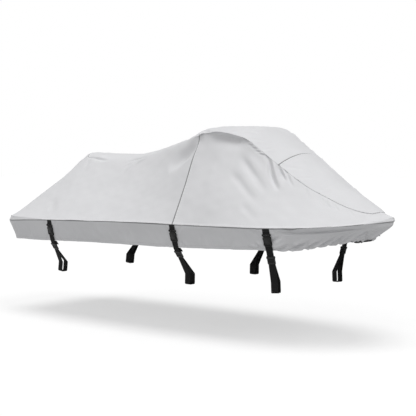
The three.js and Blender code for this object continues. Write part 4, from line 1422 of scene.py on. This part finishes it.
# One length of webbing: from the buckle over the hem, through the adjuster, round the trailer's
# rail, back through the adjuster, and out of it as a loose tail.
def addStrap(strap, side, word):
    name, lift = strap["name"] + "_" + word, strap["lift"]
    frame = sideFrame(strap["railX"], side, math.radians(strap["lean"]))
    flat, middle = lift + tab["height"], lift + buckle["middle"]
    further, lower = tab["last"]
    path = [(tab["start"], flat), (tab["flat"], flat), (tab["end"], middle),
            (tab["end"] + further, middle + lower)]
    addWebbing("tabWebbing." + name, frame, filleted(path, tab["bend"]), "tab_" + name, tab["seams"])
    place = onFrame(frame, buckle["barStart"], middle - buckle["barDrop"])
    addMoulding("buckleBar." + name, place, mouldings["bar"], "buckle_bar_" + name)
    place = onFrame(frame, buckle["bodyStart"], lift)
    addMoulding("buckleBody." + name, place, mouldings["body"], "buckle_body_" + name)

    corners = loopCorners(frame)
    bend = np.array([frame["length"] + stem["pastHem"], stem["heightAtHem"]])
    ahead = unit(corners[0] * (1 - stem["aim"]) + corners[-1] * stem["aim"] - bend)
    aside = np.array([-ahead[1], ahead[0]])

    def at(distance, off=0):                # along the straight below the hem, and off to its side
        return bend + ahead * distance + aside * off

    start, ply = strap["toAdjuster"], webbing["thickness"] / 2 + adjuster["ply"]
    apex = start + adjuster["length"] + stem["belowAdjuster"]
    path = [(buckle["webbingStart"], middle), bend, at(start, ply), at(apex, ply), *corners,
            at(apex, -ply), at(start, -ply)]
    if strap["tail"] > 0:
        path += [at(start + down, off) for down, off in tail["path"] + [(strap["tail"], tail["end"])]]
    else:
        path.append(at(start - stem["lastEnd"], -ply))
    addWebbing("strapWebbing." + name, frame, filleted(path, webbing["bend"]), "strap_" + name)

    def place(vertices):
        along, height = vertices[:, 1:2], vertices[:, 2:]
        places = at(start) + ahead * along + aside * height
        return inSpace(frame, places[:, 0], vertices[:, 0], places[:, 1])
    addMoulding("adjusterFrame." + name, place, mouldings["adjuster"], "adjuster_" + name)


def addSternStrap(side, word):
    frame, lift = sternFrame(side), sternStrap["lift"]
    height = lift + sternStrap["height"]
    path = np.array([(sternStrap["start"], height), (sternStrap["end"], height)])
    addWebbing("sternWebbing." + word, frame, path, "stern_tab_" + word, sternStrap["seams"])
    place = onFrame(frame, sternStrap["buckle"], lift)
    addMoulding("sternBuckle." + word, place, mouldings["stern"], "stern_buckle_" + word)


# The elastic cord in the hem of the bow, bare where it crosses the bow, with narrowed ends.
bowCord = {"reach": .9, "radius": .0052, "below": .0035, "steps": 161, "sides": 16,
           "end": .30, "endPower": .12}


def addBowCord():
    reach = bowCord["reach"]
    across = np.linspace(-reach, reach, bowCord["steps"])
    path = endPoints(bowEnd, ribsAt(noseEnd), "hem", across) - [0, 0, bowCord["below"]]
    ahead = unit(np.gradient(path, axis=0))
    aside = unit(np.cross(ahead, [0, 0, 1]))
    above = np.cross(aside, ahead)
    turns = np.linspace(0, 2 * math.pi, bowCord["sides"] + 1)[:-1, None]
    swelling = np.sin(np.linspace(0, math.pi, len(path))) ** bowCord["endPower"]
    radius = bowCord["radius"] * np.minimum(1, bowCord["end"] + (1 - bowCord["end"]) * swelling)
    ring = aside[:, None] * np.cos(turns) + above[:, None] * np.sin(turns)
    rings = path[:, None] + ring * radius[:, None, None]
    weave = np.stack(np.broadcast_arrays(distances(path[None], 1).T, turns.T * bowCord["radius"]), -1)
    mesh = barMesh("bowCord", rings, False, {"weave": weave.reshape(-1, 2)})
    addPiece("bowElastic", mesh, "elastic", ["bow_cord"])


for side, word in bothSides:
    for strap in straps:
        addStrap(strap, side, word)
    addSternStrap(side, word)
addBowCord()
print("straps and cord")

low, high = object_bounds()
{"cad": [list(cadLow), list(cadHigh)], "visual": [list(low), list(high)]}
